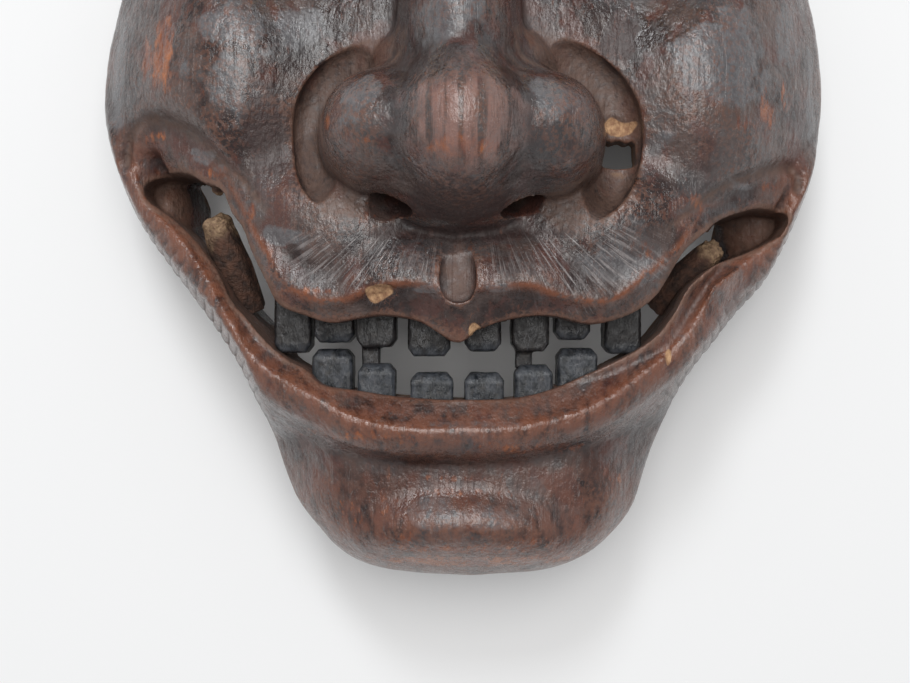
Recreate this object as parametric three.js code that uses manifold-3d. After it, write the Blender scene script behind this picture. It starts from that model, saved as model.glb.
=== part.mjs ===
// A carved grinning mask of lacquered wood, hollowed at the back, with teeth and tusks let into its mouth and a
// metal plate over each eye. Millimetres: +Z comes out of the face, +Y points to the brow, and z = 0 is the
// plane of the back rim that the mask lies on. Left and right are those of someone who looks at the face.

import * as THREE from "three";
import { mergeVertices } from "three/addons/utils/BufferGeometryUtils.js";
import Module from "manifold-3d";

const wasm = await Module();
wasm.setup();

// Overall sizes
const halfWide = 86; // centre line to cheek
const halfTall = 104.5; // middle to chin, and to the top of the forehead
const noseRise = 95; // nose tip over the back rim

// Side wall and rounded edge of the block
const sideRise = 28; // height of the side wall at the cheeks
const chinRise = 32; // height of the side wall at the chin
const edgeRise = 36; // how far the rounded edge climbs from the wall
const edgeRound = 48; // how far in from the outline it goes on climbing
const chinRound = 30; // and at the chin
const wallSlope = 4.5; // steepest that the lips' corners rise from the wall
const tuckIn = 3; // how far the outline draws in at the back rim
const tuckHeight = 26; // where it starts to draw in
const archRise = 10; // how far the back rim lifts at the cheeks
const archHalf = 84; // half the length of that lift

// Hollow at the back
const wall = 11; // wood between the face and the hollow
const rimWide = 8.5; // flat rim that the mask lies on
const hollowFoot = 10; // height at which the hollow's side starts to climb
const hollowRise = 30; // how steeply it climbs
const hollowRound = 26; // how far in it goes on climbing

// Soft seams between neighbouring forms
const broadSeam = 7;
const noseSeam = 9;
const lipSeam = 1.2;
const foldSeam = 3;
const edgeSeam = 5;

// Lips
const lowerLipHalf = 6; // from the lower lip's crest out to its edge
const lowerLipDrop = 4; // how far it has dropped by then
const lowerLipFall = 2.4; // slope beyond that edge
const upperLipHalf = 9; // from the upper lip's crest out into the cheek
const upperLipDrop = 3.4;
const lipTurn = 4; // how far in the lip's edge rounds over
const upperTurnDrop = 4; // what the upper lip loses in that turn
const lowerTurnDrop = 1.5; // what the lower lip loses in it
const lipSlope = 0.35; // slope of both lips' inner faces
const cornerSlope = 0.1; // slope of the rolled corners at their crest
const cornerBend = 5.9; // radius at which they roll over
const foldSlope = 2; // how steeply the cheek rises beside the upper lip
const creaseHalf = 1.3; // crease between a rolled corner and the cheek
const creaseDeep = 1.8;

// Grooves and holes
const philtrumHalf = 3.8;
const nostrilWide = 5; // half sizes of a nostril
const nostrilTall = 3.3;
const nostrilDeep = 16;
const breakWide = 7; // old break through the right groove
const breakTall = 5;
const cordHalf = 2;

// Teeth and tusks
const clearance = 0.3; // round everything let into the wood
const toothThick = 9;
const toothFront = 51; // front of the middle teeth over the rim
const archDrop = 6; // how much lower the last teeth sit
const toothSocket = 4; // how far each root goes into the wood
const toothTaper = 1; // a tooth's tip is this much narrower than its root
const toothCorner = 0.9; // cut off each free corner
const toothEdge = 0.6; // bevel round the faces
const postBehind = 3; // front of a post behind its tooth's front
const postThick = 5;

// Eyes
const eyeAcross = 37.5; // centre line to the middle of an eye
const eyeUp = 46;
const eyeWide = 16.5; // half sizes of the eyeball
const eyeTall = 12;
const eyeRise = 14.5;
const eyeBase = 47.5; // height of the eyeball's middle
const plateThick = 1.2;
const plateProud = 0.5; // how far the plate stands over the eyeball round it
const plateWide = 12.5; // half sizes of the plate on it
const plateTall = 8.5;
const pupilHalf = 4.6;
const socketDip = 7; // how deep the wood sinks round the eyeball
const socketSpread = 1.45; // and how far, in eyeballs
const lidRise = 3; // rolled lid round it
const lidAt = 1.3; // its middle, in eyeballs
const lidHalf = 0.16; // and half its width
const browHalf = 9;
const browRise = 9;

const overrun = 6; // how far each cut runs past the wood

// How finely round things are divided
const outlineSteps = 108;
const lipSteps = 96;
const grooveSteps = 22;
const roundSteps = 16;
const ballSteps = 20;
const archSteps = 180;
const frontGrid = [46, 58];
const noseGrid = [16, 20];
const hollowGrid = [20, 24];
const finestShare = -0.38; // the height at which the grid is finest
const bunching = 1.25;

// Outline of the face seen from the front, as shares of its half width and half height, from the chin round by
// the right cheek
const outlineShares = [
  [0, -1], [0.136, -0.998], [0.25, -0.985], [0.35, -0.948], [0.412, -0.907], [0.47, -0.849], [0.505, -0.773],
  [0.542, -0.687], [0.585, -0.605], [0.647, -0.526], [0.697, -0.475], [0.755, -0.414], [0.836, -0.343],
  [0.895, -0.253], [0.922, -0.199], [0.969, -0.106], [0.994, 0], [1, 0.11], [0.98, 0.267], [0.92, 0.436],
  [0.833, 0.597], [0.686, 0.782], [0.499, 0.92], [0.25, 0.985], [0, 1], [-0.25, 0.985], [-0.499, 0.92],
  [-0.692, 0.782], [-0.836, 0.597], [-0.92, 0.436], [-0.98, 0.25], [-1, 0.11], [-0.994, 0.03],
  [-0.957, -0.09], [-0.893, -0.206], [-0.814, -0.3], [-0.723, -0.398], [-0.642, -0.498], [-0.574, -0.61],
  [-0.535, -0.666], [-0.493, -0.759], [-0.457, -0.829], [-0.398, -0.893], [-0.338, -0.942], [-0.251, -0.979],
  [-0.122, -0.995],
];

// Crest of the upper lip from the left corner of the mouth to the right: share of the half width, of the half
// height, and of the nose's rise
const upperCrestShares = [
  [-0.891, -0.069, 0.384], [-0.884, -0.046, 0.395], [-0.863, -0.022, 0.411], [-0.831, -0.008, 0.432],
  [-0.788, -0.01, 0.453], [-0.726, -0.038, 0.479], [-0.673, -0.073, 0.505], [-0.625, -0.111, 0.526],
  [-0.58, -0.165, 0.55], [-0.533, -0.238, 0.58], [-0.498, -0.285, 0.6], [-0.473, -0.328, 0.61],
  [-0.434, -0.359, 0.62], [-0.385, -0.382, 0.63], [-0.336, -0.389, 0.64], [-0.283, -0.383, 0.65],
  [-0.242, -0.367, 0.66], [-0.182, -0.357, 0.675], [-0.123, -0.355, 0.68], [-0.065, -0.365, 0.69],
  [-0.016, -0.381, 0.695], [0.029, -0.367, 0.695], [0.096, -0.362, 0.685], [0.161, -0.357, 0.675],
  [0.242, -0.38, 0.66], [0.297, -0.388, 0.65], [0.351, -0.389, 0.64], [0.388, -0.379, 0.63],
  [0.435, -0.349, 0.62], [0.481, -0.32, 0.61], [0.53, -0.289, 0.59], [0.568, -0.247, 0.575],
  [0.6, -0.203, 0.558], [0.66, -0.176, 0.516], [0.725, -0.151, 0.484], [0.786, -0.134, 0.453],
  [0.839, -0.122, 0.432], [0.875, -0.121, 0.411], [0.889, -0.135, 0.4],
];

// Crest of the lower lip, from the left corner to the right, in the same shares
const lowerCrestShares = [
  [-0.891, -0.08, 0.384], [-0.88, -0.119, 0.389], [-0.85, -0.168, 0.4], [-0.758, -0.241, 0.44],
  [-0.68, -0.322, 0.48], [-0.614, -0.408, 0.53], [-0.553, -0.486, 0.56], [-0.499, -0.528, 0.57],
  [-0.421, -0.566, 0.59], [-0.345, -0.597, 0.6], [-0.274, -0.629, 0.61], [-0.15, -0.647, 0.63],
  [-0.012, -0.65, 0.63], [0.118, -0.647, 0.63], [0.235, -0.629, 0.61], [0.313, -0.608, 0.6],
  [0.375, -0.582, 0.59], [0.439, -0.546, 0.57], [0.532, -0.489, 0.54], [0.571, -0.459, 0.53],
  [0.611, -0.412, 0.51], [0.65, -0.351, 0.48], [0.705, -0.32, 0.46], [0.78, -0.28, 0.43],
  [0.835, -0.243, 0.411], [0.871, -0.199, 0.4], [0.888, -0.157, 0.395],
];

// Creases between the lips' rolled corners and the cheeks, from the outside inwards
const creaseShares = [
  [
    [-0.91, -0.075, 0.379], [-0.9, -0.034, 0.389], [-0.877, -0.005, 0.4], [-0.839, 0.01, 0.421],
    [-0.791, 0.009, 0.442], [-0.717, -0.019, 0.484], [-0.658, -0.056, 0.516], [-0.61, -0.097, 0.537],
    [-0.553, -0.143, 0.568], [-0.502, -0.196, 0.6], [-0.451, -0.244, 0.632],
  ],
  [
    [0.904, -0.134, 0.389], [0.901, -0.106, 0.395], [0.875, -0.089, 0.411], [0.821, -0.098, 0.442],
    [0.77, -0.109, 0.463], [0.72, -0.124, 0.484], [0.668, -0.144, 0.505], [0.617, -0.17, 0.537],
    [0.582, -0.194, 0.558], [0.532, -0.227, 0.589], [0.481, -0.268, 0.621],
  ],
];

// Opening of the mouth: its upper edge from left to right, then its lower edge back
const upperMouthShares = [
  [-0.863, -0.126], [-0.849, -0.112], [-0.806, -0.102], [-0.763, -0.102], [-0.716, -0.111], [-0.676, -0.132],
  [-0.628, -0.148], [-0.598, -0.2], [-0.57, -0.229], [-0.542, -0.283], [-0.502, -0.344], [-0.469, -0.392],
  [-0.404, -0.416], [-0.333, -0.433], [-0.27, -0.424], [-0.199, -0.418], [-0.106, -0.431], [-0.065, -0.451],
  [-0.014, -0.474], [0.023, -0.457], [0.058, -0.441], [0.146, -0.422], [0.216, -0.418], [0.33, -0.435],
  [0.426, -0.414], [0.494, -0.375], [0.518, -0.344], [0.563, -0.283], [0.611, -0.248], [0.661, -0.216],
  [0.737, -0.193], [0.788, -0.181], [0.837, -0.184], [0.876, -0.189],
];
const lowerMouthShares = [
  [0.86, -0.229], [0.819, -0.252], [0.761, -0.274], [0.689, -0.295], [0.628, -0.323], [0.577, -0.362],
  [0.551, -0.401], [0.499, -0.455], [0.449, -0.486], [0.354, -0.526], [0.239, -0.567], [0.137, -0.59],
  [-0.011, -0.592], [-0.151, -0.587], [-0.268, -0.574], [-0.364, -0.56], [-0.399, -0.531], [-0.451, -0.508],
  [-0.502, -0.474], [-0.556, -0.425], [-0.601, -0.382], [-0.644, -0.321], [-0.687, -0.276], [-0.745, -0.224],
  [-0.798, -0.188], [-0.853, -0.154],
];

// Broad swellings of the face: middle across and up, half width, half height, top, and what it has dropped at
// that half width
const broadSwellShares = [
  [0, 0.19, 1, 1.07, 0.6, 0.19], // skull
  [0, 0.65, 0.72, 0.4, 0.63, 0.17], // forehead
  [-0.62, 0.105, 0.4, 0.36, 0.64, 0.23], // left cheek
  [0.64, 0.067, 0.4, 0.36, 0.64, 0.23], // right cheek
  [-0.34, -0.25, 0.27, 0.145, 0.655, 0.07], // left half of the upper lip
  [0.36, -0.26, 0.27, 0.145, 0.655, 0.07], // right half of the upper lip
  [0, -0.69, 0.56, 0.38, 0.525, 0.105], // jaw
  [0, -0.885, 0.215, 0.085, 0.6, 0.085], // chin
];

// Rounded forms of the nose: middle across and up, half width, half height, base, and rise over the base
const noseShares = [
  [-0.003, -0.045, 0.345, 0.18, 0.5, 0.41], // whole bulk
  [-0.005, -0.055, 0.165, 0.165, 0.7, 0.3], // tip
  [-0.01, 0.14, 0.17, 0.37, 0.5, 0.39], // bridge
  [0, 0.1, 0.25, 0.12, 0.5, 0.25], // foot of the bridge
  [-0.215, -0.045, 0.145, 0.13, 0.6, 0.25], // left wing
  [0.21, -0.05, 0.145, 0.13, 0.6, 0.25], // right wing
  [-0.012, -0.14, 0.215, 0.12, 0.55, 0.22], // under the tip
];
// The block that the nose is carved from: half width, lower and upper end, and its foot
const noseBlockShares = [0.42, -0.3, 0.62, 0.38];
const noseHollowShares = [0, -0.03, 0.24, 0.24, 0.42, 0.27];
const capEndShare = 0.93; // how far out these forms stay round before they go on straight

// Brow ridges, as the left one: across and up
const browShares = [[-0.76, 0.44], [-0.62, 0.56], [-0.45, 0.61], [-0.27, 0.57], [-0.1, 0.44]];

// Grooves round the nostril wings, from beside the bridge round to the upper lip
const ringShares = [
  [
    [-0.185, 0.125, 0.68], [-0.247, 0.116, 0.61], [-0.309, 0.094, 0.585], [-0.354, 0.058, 0.575],
    [-0.384, 0.007, 0.57], [-0.389, -0.055, 0.57], [-0.377, -0.117, 0.575], [-0.342, -0.162, 0.61],
    [-0.292, -0.19, 0.7],
  ],
  [
    [0.18, 0.125, 0.68], [0.247, 0.116, 0.61], [0.322, 0.085, 0.585], [0.373, 0.038, 0.575], [0.398, -0.014, 0.57],
    [0.398, -0.075, 0.57], [0.373, -0.137, 0.575], [0.317, -0.185, 0.64], [0.26, -0.203, 0.74],
  ],
];
const ringHalfShares = [0.042, 0.054]; // share of the half width, left and right
const breakShares = [0.408, -0.064];
const philtrumShares = [[-0.012, -0.262, 0.715], [-0.012, -0.385, 0.72]];
const nostrilShares = [
  [[-0.184, -0.19, 0.69], [-0.12, -0.1, 0.4]],
  [[0.15, -0.19, 0.69], [0.09, -0.1, 0.4]],
];
const cordShares = [0.17, 0.2]; // up and out, at both temples

// Teeth: middle across, width and height of the tip, and whether a post goes on to the tooth opposite
const upperToothShares = [
  [0.42, 0.098, -0.498, false], [0.285, 0.094, -0.468, false], [0.174, 0.1, -0.493, true],
  [0.051, 0.096, -0.493, false], [-0.088, 0.112, -0.503, false], [-0.225, 0.106, -0.484, true],
  [-0.337, 0.108, -0.474, false], [-0.448, 0.1, -0.496, false],
];
const lowerToothShares = [
  [-0.225, 0.1, -0.517], [-0.081, 0.112, -0.536], [0.055, 0.104, -0.536], [0.183, 0.1, -0.52],
  [0.298, 0.106, -0.484], [-0.341, 0.108, -0.486],
];
const postShares = [0.45, 0.15]; // width of a post, and how far to its tooth's left, as shares of the tooth

// Tusks: root and tip, each across, up and out, then the radius of both as shares of the half width
const tuskShares = {
  left_upper_tusk_stub: [[-0.622, -0.095, 0.47], [-0.655, -0.148, 0.43], 0.028, 0.02],
  left_lower_tusk_stump: [[-0.598, -0.4, 0.3], [-0.668, -0.19, 0.4], 0.056, 0.043],
  right_upper_tusk_stub: [[0.668, -0.155, 0.475], [0.632, -0.232, 0.42], 0.032, 0.024],
  right_lower_tusk_stump: [[0.54, -0.395, 0.3], [0.69, -0.252, 0.39], 0.05, 0.036],
};
// Profile of a tusk from root to tip: radius between the root's and the tip's, and height
const tuskProfileShares = [[0, 0], [0, 0.45], [0.8, 0.86], [1, 0.95]];

// Finishes
const lacquer = new THREE.Color(0.075, 0.04, 0.03);
const blackTooth = new THREE.Color(0.045, 0.048, 0.052);
const rawWood = new THREE.Color(0.3, 0.17, 0.09);
const gilt = new THREE.Color(0.62, 0.43, 0.17);

const mask = new THREE.Group();

// Adds a finished solid to the mask as one named piece.
function addPiece(name, solid, color, roughness, metalness) {
  const material = new THREE.MeshStandardMaterial({ color, roughness, metalness });
  const piece = new THREE.Mesh(geometryOf(solid), material);
  piece.name = name;
  mask.add(piece);
}

// A closed geometry as a solid that can be cut and joined.
function solidOf(geometry) {
  const bare = geometry.clone();
  bare.deleteAttribute("normal");
  bare.deleteAttribute("uv");
  const merged = mergeVertices(bare);
  return new wasm.Manifold(
    new wasm.Mesh({
      numProp: 3,
      vertProperties: merged.attributes.position.array,
      triVerts: new Uint32Array(merged.index.array),
    }),
  );
}

function geometryOf(solid) {
  const mesh = solid.getMesh();
  const geometry = new THREE.BufferGeometry();
  geometry.setAttribute("position", new THREE.BufferAttribute(mesh.vertProperties, mesh.numProp));
  geometry.setIndex(new THREE.BufferAttribute(mesh.triVerts, 1));
  geometry.computeVertexNormals();
  return geometry;
}

// The place that shares of the half width, the half height and the nose's rise name.
function placeOf([across, up, out = 0]) {
  return new THREE.Vector3(across * halfWide, up * halfTall, out * noseRise);
}

function sampled(shares, closed, steps) {
  const curve = new THREE.CatmullRomCurve3(shares.map(placeOf), closed, "centripetal");
  const points = curve.getSpacedPoints(steps);
  if (closed) points.pop();
  return points;
}

// The nearest place on sampled points: how far off it is in plan, and its height.
function nearest(points, x, y, closed = false) {
  let gap = Infinity;
  let height = 0;
  const last = closed ? points.length : points.length - 1;
  for (let i = 0; i < last; i++) {
    const a = points[i];
    const b = points[(i + 1) % points.length];
    const dx = b.x - a.x;
    const dy = b.y - a.y;
    const along = THREE.MathUtils.clamp(((x - a.x) * dx + (y - a.y) * dy) / (dx * dx + dy * dy), 0, 1);
    const off = Math.hypot(a.x + along * dx - x, a.y + along * dy - y);
    if (off < gap) {
      gap = off;
      height = a.z + along * (b.z - a.z);
    }
  }
  return { gap, height };
}

function isInside(points, x, y) {
  let odd = false;
  points.forEach((a, i) => {
    const b = points[(i + 1) % points.length];
    const crosses = a.y > y !== b.y > y;
    if (crosses && x < a.x + ((y - a.y) / (b.y - a.y)) * (b.x - a.x)) odd = !odd;
  });
  return odd;
}

// The higher of two heights, with the seam between them rounded over a height of soft.
function blendMax(a, b, soft) {
  const near = Math.max(soft - Math.abs(a - b), 0) / soft;
  return Math.max(a, b) + (near * near * soft) / 4;
}

function blendMin(a, b, soft) {
  return -blendMax(-a, -b, soft);
}

const outline = sampled(outlineShares, true, outlineSteps);
const upperCrest = sampled(upperCrestShares, false, lipSteps);
const lowerCrest = sampled(lowerCrestShares, false, lipSteps);
const lips = [...upperCrest, ...[...lowerCrest].reverse()];
const mouth = sampled([...upperMouthShares, ...lowerMouthShares], true, lipSteps);
const creases = creaseShares.map((shares) => sampled(shares, false, grooveSteps));
const brow = sampled(browShares, false, grooveSteps);

// The outline moved inwards by a distance.
function insetOutline(distance) {
  return outline.map((point, i) => {
    const before = outline[(i + outline.length - 1) % outline.length];
    const after = outline[(i + 1) % outline.length];
    const along = new THREE.Vector3().subVectors(after, before).normalize();
    return new THREE.Vector3(point.x - along.y * distance, point.y + along.x * distance, 0);
  });
}

// How far a point lies inside the outline, negative outside it.
function insideBy(x, y) {
  const { gap } = nearest(outline, x, y, true);
  return isInside(outline, x, y) ? gap : -gap;
}

// Rounded edge of the block at some distance in from its outline.
function edgeHeight(inwards, rise, reach) {
  const share = THREE.MathUtils.clamp(inwards / reach, -1, 1);
  return share > 0 ? rise * share * (2 - share) : rise * 2 * share;
}

function quadratic([across, up, wide, tall], x, y) {
  const dx = (x - across * halfWide) / (wide * halfWide);
  const dy = (y - up * halfTall) / (tall * halfTall);
  return dx * dx + dy * dy;
}

function swelling(lobe, x, y) {
  return (lobe[4] - lobe[5] * quadratic(lobe, x, y)) * noseRise;
}

function roundedForm(lobe, x, y) {
  const q = quadratic(lobe, x, y);
  const end = Math.sqrt(1 - capEndShare);
  const cap = q < capEndShare ? Math.sqrt(1 - q) : end - (q - capEndShare) / (2 * end);
  return (lobe[4] + lobe[5] * cap) * noseRise;
}

function broadHeight(x, y) {
  return broadSwellShares
    .map((lobe) => swelling(lobe, x, y))
    .reduce((a, b) => blendMax(a, b, broadSeam));
}

// How far the nose stands over the rim's plane.
function noseHeight(x, y) {
  return noseShares.map((lobe) => roundedForm(lobe, x, y)).reduce((a, b) => blendMax(a, b, noseSeam));
}

// Distance from the middle of the nearer eye, in eyeballs.
function eyeballsOff(x, y) {
  return Math.hypot((Math.abs(x) - eyeAcross) / eyeWide, (y - eyeUp) / eyeTall);
}

function eyeDip(x, y) {
  return socketDip * Math.exp(-((eyeballsOff(x, y) / socketSpread) ** 2));
}

function lidLift(x, y) {
  return lidRise * Math.exp(-(((eyeballsOff(x, y) - lidAt) / lidHalf) ** 2));
}

// What the inner face of the upper lip has lost at some distance in from its crest.
function upperTurn(gap, x) {
  const crisp = upperTurnDrop * (1 - Math.exp(-gap / lipTurn)) + lipSlope * gap;
  const rolled = cornerSlope * gap + (gap * gap) / (2 * cornerBend);
  return THREE.MathUtils.lerp(crisp, rolled, THREE.MathUtils.smoothstep(Math.abs(x) / halfWide, 0.52, 0.68));
}

function creaseDip(x, y) {
  const gap = Math.min(...creases.map((crease) => nearest(crease, x, y).gap));
  return creaseDeep * Math.exp(-((gap / creaseHalf) ** 2));
}

// Height of the carved face over the rim's plane.
function faceHeight(x, y) {
  const upper = nearest(upperCrest, x, y);
  const lower = nearest(lowerCrest, x, y);
  const chinward = THREE.MathUtils.smoothstep(-y / halfTall, 0.7, 0.95);
  const wallRise = THREE.MathUtils.lerp(sideRise, chinRise, chinward);
  const inwards = insideBy(x, y);
  let face;
  if (isInside(lips, x, y)) {
    const lowerTurn = lowerTurnDrop * (1 - Math.exp(-lower.gap / lipTurn)) + lipSlope * lower.gap;
    face = Math.max(upper.height - upperTurn(upper.gap, x), lower.height - lowerTurn);
  } else {
    const edge = wallRise + edgeHeight(inwards, edgeRise, THREE.MathUtils.lerp(edgeRound, chinRound, chinward));
    const browLift = browRise * Math.exp(-((nearest(brow, -Math.abs(x), y).gap / browHalf) ** 2));
    face = blendMin(broadHeight(x, y) - eyeDip(x, y) + lidLift(x, y) + browLift, edge, edgeSeam);
    face = blendMin(face, upper.height + foldSlope * upper.gap, foldSeam);
    const beyond = Math.max(lower.gap - lowerLipHalf, 0);
    const lowerDrop = lowerLipDrop * Math.min(lower.gap / lowerLipHalf, 1) ** 2 + lowerLipFall * beyond;
    const upperBand = upper.height - upperLipDrop * (upper.gap / upperLipHalf) ** 2;
    face = blendMax(blendMax(face, lower.height - lowerDrop, lipSeam), upperBand, lipSeam);
  }
  return blendMin(face - creaseDip(x, y), wallRise + wallSlope * Math.max(inwards, 0), foldSeam);
}

// Height of the hollow's roof over the rim's plane.
function hollowHeight(x, y) {
  const side = edgeHeight(insideBy(x, y) - rimWide - tuckIn, hollowRise, hollowRound) + hollowFoot;
  const roof = blendMax(broadHeight(x, y) - eyeDip(x, y) - wall, roundedForm(noseHollowShares, x, y), broadSeam);
  return blendMin(roof, side + wall, edgeSeam);
}

// A box whose front is divided finely, with each square of it cut along the run of the outline there.
function frontDivided(columns, rows) {
  const block = new THREE.BoxGeometry(2, 2, 2, columns, rows, 1);
  const place = block.getAttribute("position");
  const { start, count } = block.groups[4];
  for (let at = start; at < start + count; at += 6) {
    const [a, b, d, , c] = block.index.array.slice(at, at + 6);
    const across = place.getX(a) + place.getX(c);
    const up = place.getY(a) + place.getY(c);
    if (across * up > 0) block.index.array.set([a, b, c, a, c, d], at);
  }
  return block;
}

// A block whose top follows a height, with its grid finest round the mouth.
function carvedBlock([columns, rows], heightAt) {
  const block = frontDivided(columns, rows);
  const place = block.getAttribute("position");
  const finest = finestShare * halfTall;
  for (let i = 0; i < place.count; i++) {
    const x = place.getX(i) * (halfWide + overrun);
    const s = place.getY(i);
    const reach = halfTall + overrun - Math.sign(s) * finest;
    const y = finest + Math.sign(s) * Math.abs(s) ** bunching * reach;
    place.setXYZ(i, x, y, place.getZ(i) > 0 ? heightAt(x, y) : -overrun);
  }
  return solidOf(block);
}

// The nose's own block, which is joined to the face.
function carvedNose() {
  const [wide, low, high, foot] = noseBlockShares;
  const block = frontDivided(...noseGrid);
  const place = block.getAttribute("position");
  for (let i = 0; i < place.count; i++) {
    const x = place.getX(i) * wide * halfWide;
    const y = THREE.MathUtils.lerp(low, high, (place.getY(i) + 1) / 2) * halfTall;
    const top = Math.max(noseHeight(x, y), foot * noseRise + clearance);
    place.setXYZ(i, x, y, place.getZ(i) > 0 ? top : foot * noseRise);
  }
  return solidOf(block);
}

// What lifts the back rim off the ground at the cheeks: a wide roller across the back.
function rimArch() {
  const radius = (archHalf ** 2 + archRise ** 2) / (2 * archRise);
  const roller = new THREE.CylinderGeometry(radius, radius, 3 * halfWide, archSteps);
  return solidOf(roller.rotateZ(Math.PI / 2).translate(0, 0, archRise - radius));
}

// An upright prism on an outline.
function prism(points, low, high, steps = 1) {
  const shape = new THREE.Shape(points.map((point) => new THREE.Vector2(point.x, point.y)));
  const geometry = new THREE.ExtrudeGeometry(shape, { depth: high - low, steps, bevelEnabled: false });
  return geometry.translate(0, 0, low);
}

// The outside of the block, drawn in a little towards the back rim.
function sideWall() {
  const levels = [0, tuckHeight / 3, (tuckHeight * 2) / 3, tuckHeight, noseRise + overrun];
  const geometry = prism(outline, 0, levels.length - 1, levels.length - 1);
  const place = geometry.getAttribute("position");
  for (let i = 0; i < place.count; i++) {
    const level = levels[Math.round(place.getZ(i))];
    const below = Math.max(1 - level / tuckHeight, 0);
    const drawn = 1 - (tuckIn / halfWide) * below * below;
    place.setXYZ(i, place.getX(i) * drawn, place.getY(i) * drawn, level);
  }
  return solidOf(geometry);
}

// A rod between two places, with its ends cut square.
function rod(from, to, radius) {
  const length = from.distanceTo(to);
  const geometry = new THREE.CylinderGeometry(radius, radius, length, roundSteps);
  const along = new THREE.Vector3().subVectors(to, from).normalize();
  geometry.applyQuaternion(new THREE.Quaternion().setFromUnitVectors(new THREE.Vector3(0, 1, 0), along));
  const middle = new THREE.Vector3().lerpVectors(from, to, 0.5);
  return solidOf(geometry.translate(middle.x, middle.y, middle.z));
}

// A round groove cut along a path.
function groove(shares, half) {
  const section = new THREE.Shape();
  section.absarc(0, 0, half, 0, 2 * Math.PI);
  const extrudePath = new THREE.CatmullRomCurve3(shares.map(placeOf), false, "centripetal");
  return solidOf(
    new THREE.ExtrudeGeometry(section, { steps: grooveSteps, curveSegments: 5, extrudePath, bevelEnabled: false }),
  );
}

function ellipsoid(centre, wide, tall, deep) {
  const geometry = new THREE.SphereGeometry(1, ballSteps, ballSteps / 2);
  geometry.scale(wide, tall, deep);
  return solidOf(geometry.translate(centre.x, centre.y, centre.z));
}

// Height in plan of the mouth's upper or lower edge at some distance across.
function mouthEdge(x, upper) {
  const heights = [];
  mouth.forEach((a, i) => {
    const b = mouth[(i + 1) % mouth.length];
    if (a.x > x !== b.x > x) heights.push(a.y + ((x - a.x) / (b.x - a.x)) * (b.y - a.y));
  });
  return upper ? Math.max(...heights) : Math.min(...heights);
}

// A block tooth with cut corners at its tip, grown by some clearance for its socket.
function tooth([across, wide, tipUp, hasPost = false], upper, grown) {
  const middle = across * halfWide;
  const half = (wide * halfWide) / 2;
  const inward = upper ? 1 : -1;
  const edges = [middle - half, middle + half].map((x) => mouthEdge(x, upper) * inward);
  const root = Math.max(...edges) * inward + inward * (toothSocket + grown);
  const tip = tipUp * halfTall - inward * grown;
  const side = half + grown;
  const tipSide = side - toothTaper / 2;
  const plan = [
    [middle - side, root],
    [middle - side, tip + inward * toothCorner * 2],
    [middle - tipSide + toothCorner, tip],
    [middle + tipSide - toothCorner, tip],
    [middle + side, tip + inward * toothCorner * 2],
    [middle + side, root],
  ];
  const shape = new THREE.Shape(plan.map(([x, y]) => new THREE.Vector2(x, y)));
  const front = toothFront - archDrop * (across / upperToothShares.at(-1)[0]) ** 2;
  const edge = grown > 0 ? 0 : toothEdge;
  const geometry = new THREE.ExtrudeGeometry(shape, {
    depth: toothThick + 2 * (grown - edge),
    bevelEnabled: edge > 0,
    bevelThickness: edge,
    bevelSize: edge,
    bevelOffset: -edge,
    bevelSegments: 1,
  });
  geometry.translate(0, 0, front - toothThick - grown + edge);
  const block = solidOf(geometry);
  return hasPost ? block.add(post(middle, half, tip, front)) : block;
}

// The tip height of the tooth that stands opposite some place across.
function oppositeTip(x) {
  const gaps = lowerToothShares.map(([across]) => Math.abs(across * halfWide - x));
  return lowerToothShares[gaps.indexOf(Math.min(...gaps))][2] * halfTall;
}

function post(middle, half, tip, front) {
  const [wideShare, leftShare] = postShares;
  const end = oppositeTip(middle) + clearance;
  const start = tip + toothCorner;
  const geometry = new THREE.BoxGeometry(half * 2 * wideShare, start - end, postThick);
  const deep = front - postBehind - postThick / 2;
  return solidOf(geometry.translate(middle - half * 2 * leftShare, (start + end) / 2, deep));
}

// A broken tusk from root to tip, grown by some clearance for its socket.
function tusk([root, tip, rootShare, tipShare], grown) {
  const from = placeOf(root);
  const to = placeOf(tip);
  const along = new THREE.Vector3().subVectors(to, from).normalize();
  from.addScaledVector(along, -grown);
  to.addScaledVector(along, grown);
  const length = from.distanceTo(to);
  const rootRadius = rootShare * halfWide + grown;
  const tipRadius = tipShare * halfWide + grown;
  const profile = [new THREE.Vector2(0, 0)];
  for (const [narrowed, up] of tuskProfileShares) {
    profile.push(new THREE.Vector2(THREE.MathUtils.lerp(rootRadius, tipRadius, narrowed), up * length));
  }
  profile.push(new THREE.Vector2(tipRadius / 2, length), new THREE.Vector2(0, length));
  const geometry = new THREE.LatheGeometry(profile, roundSteps);
  geometry.applyQuaternion(new THREE.Quaternion().setFromUnitVectors(new THREE.Vector3(0, 1, 0), along));
  return solidOf(geometry.translate(from.x, from.y, from.z));
}

// The oval column over an eye that its plate is cut from.
function plateBlank(side, grown) {
  const rim = new THREE.Shape();
  rim.absellipse(side * eyeAcross, eyeUp, plateWide + grown, plateTall + grown, 0, 2 * Math.PI);
  return solidOf(prism(rim.getPoints(roundSteps), eyeBase, eyeBase + eyeRise + overrun));
}

function eyeball(side, within) {
  const centre = new THREE.Vector3(side * eyeAcross, eyeUp, eyeBase);
  return ellipsoid(centre, eyeWide - within, eyeTall - within, eyeRise - within);
}

// An eye plate: a domed sheet that follows the eyeball.
function eyePlate(side) {
  return eyeball(side, -plateProud).subtract(eyeball(side, plateThick - plateProud)).intersect(plateBlank(side, 0));
}

// What is cut away over the eyeball to seat its plate.
function plateSeat(side) {
  return plateBlank(side, clearance).subtract(eyeball(side, plateThick - plateProud + clearance));
}

function pupil(side) {
  const middle = new THREE.Vector3(side * eyeAcross, eyeUp, -overrun);
  return rod(middle, middle.clone().setZ(noseRise), pupilHalf);
}

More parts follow.
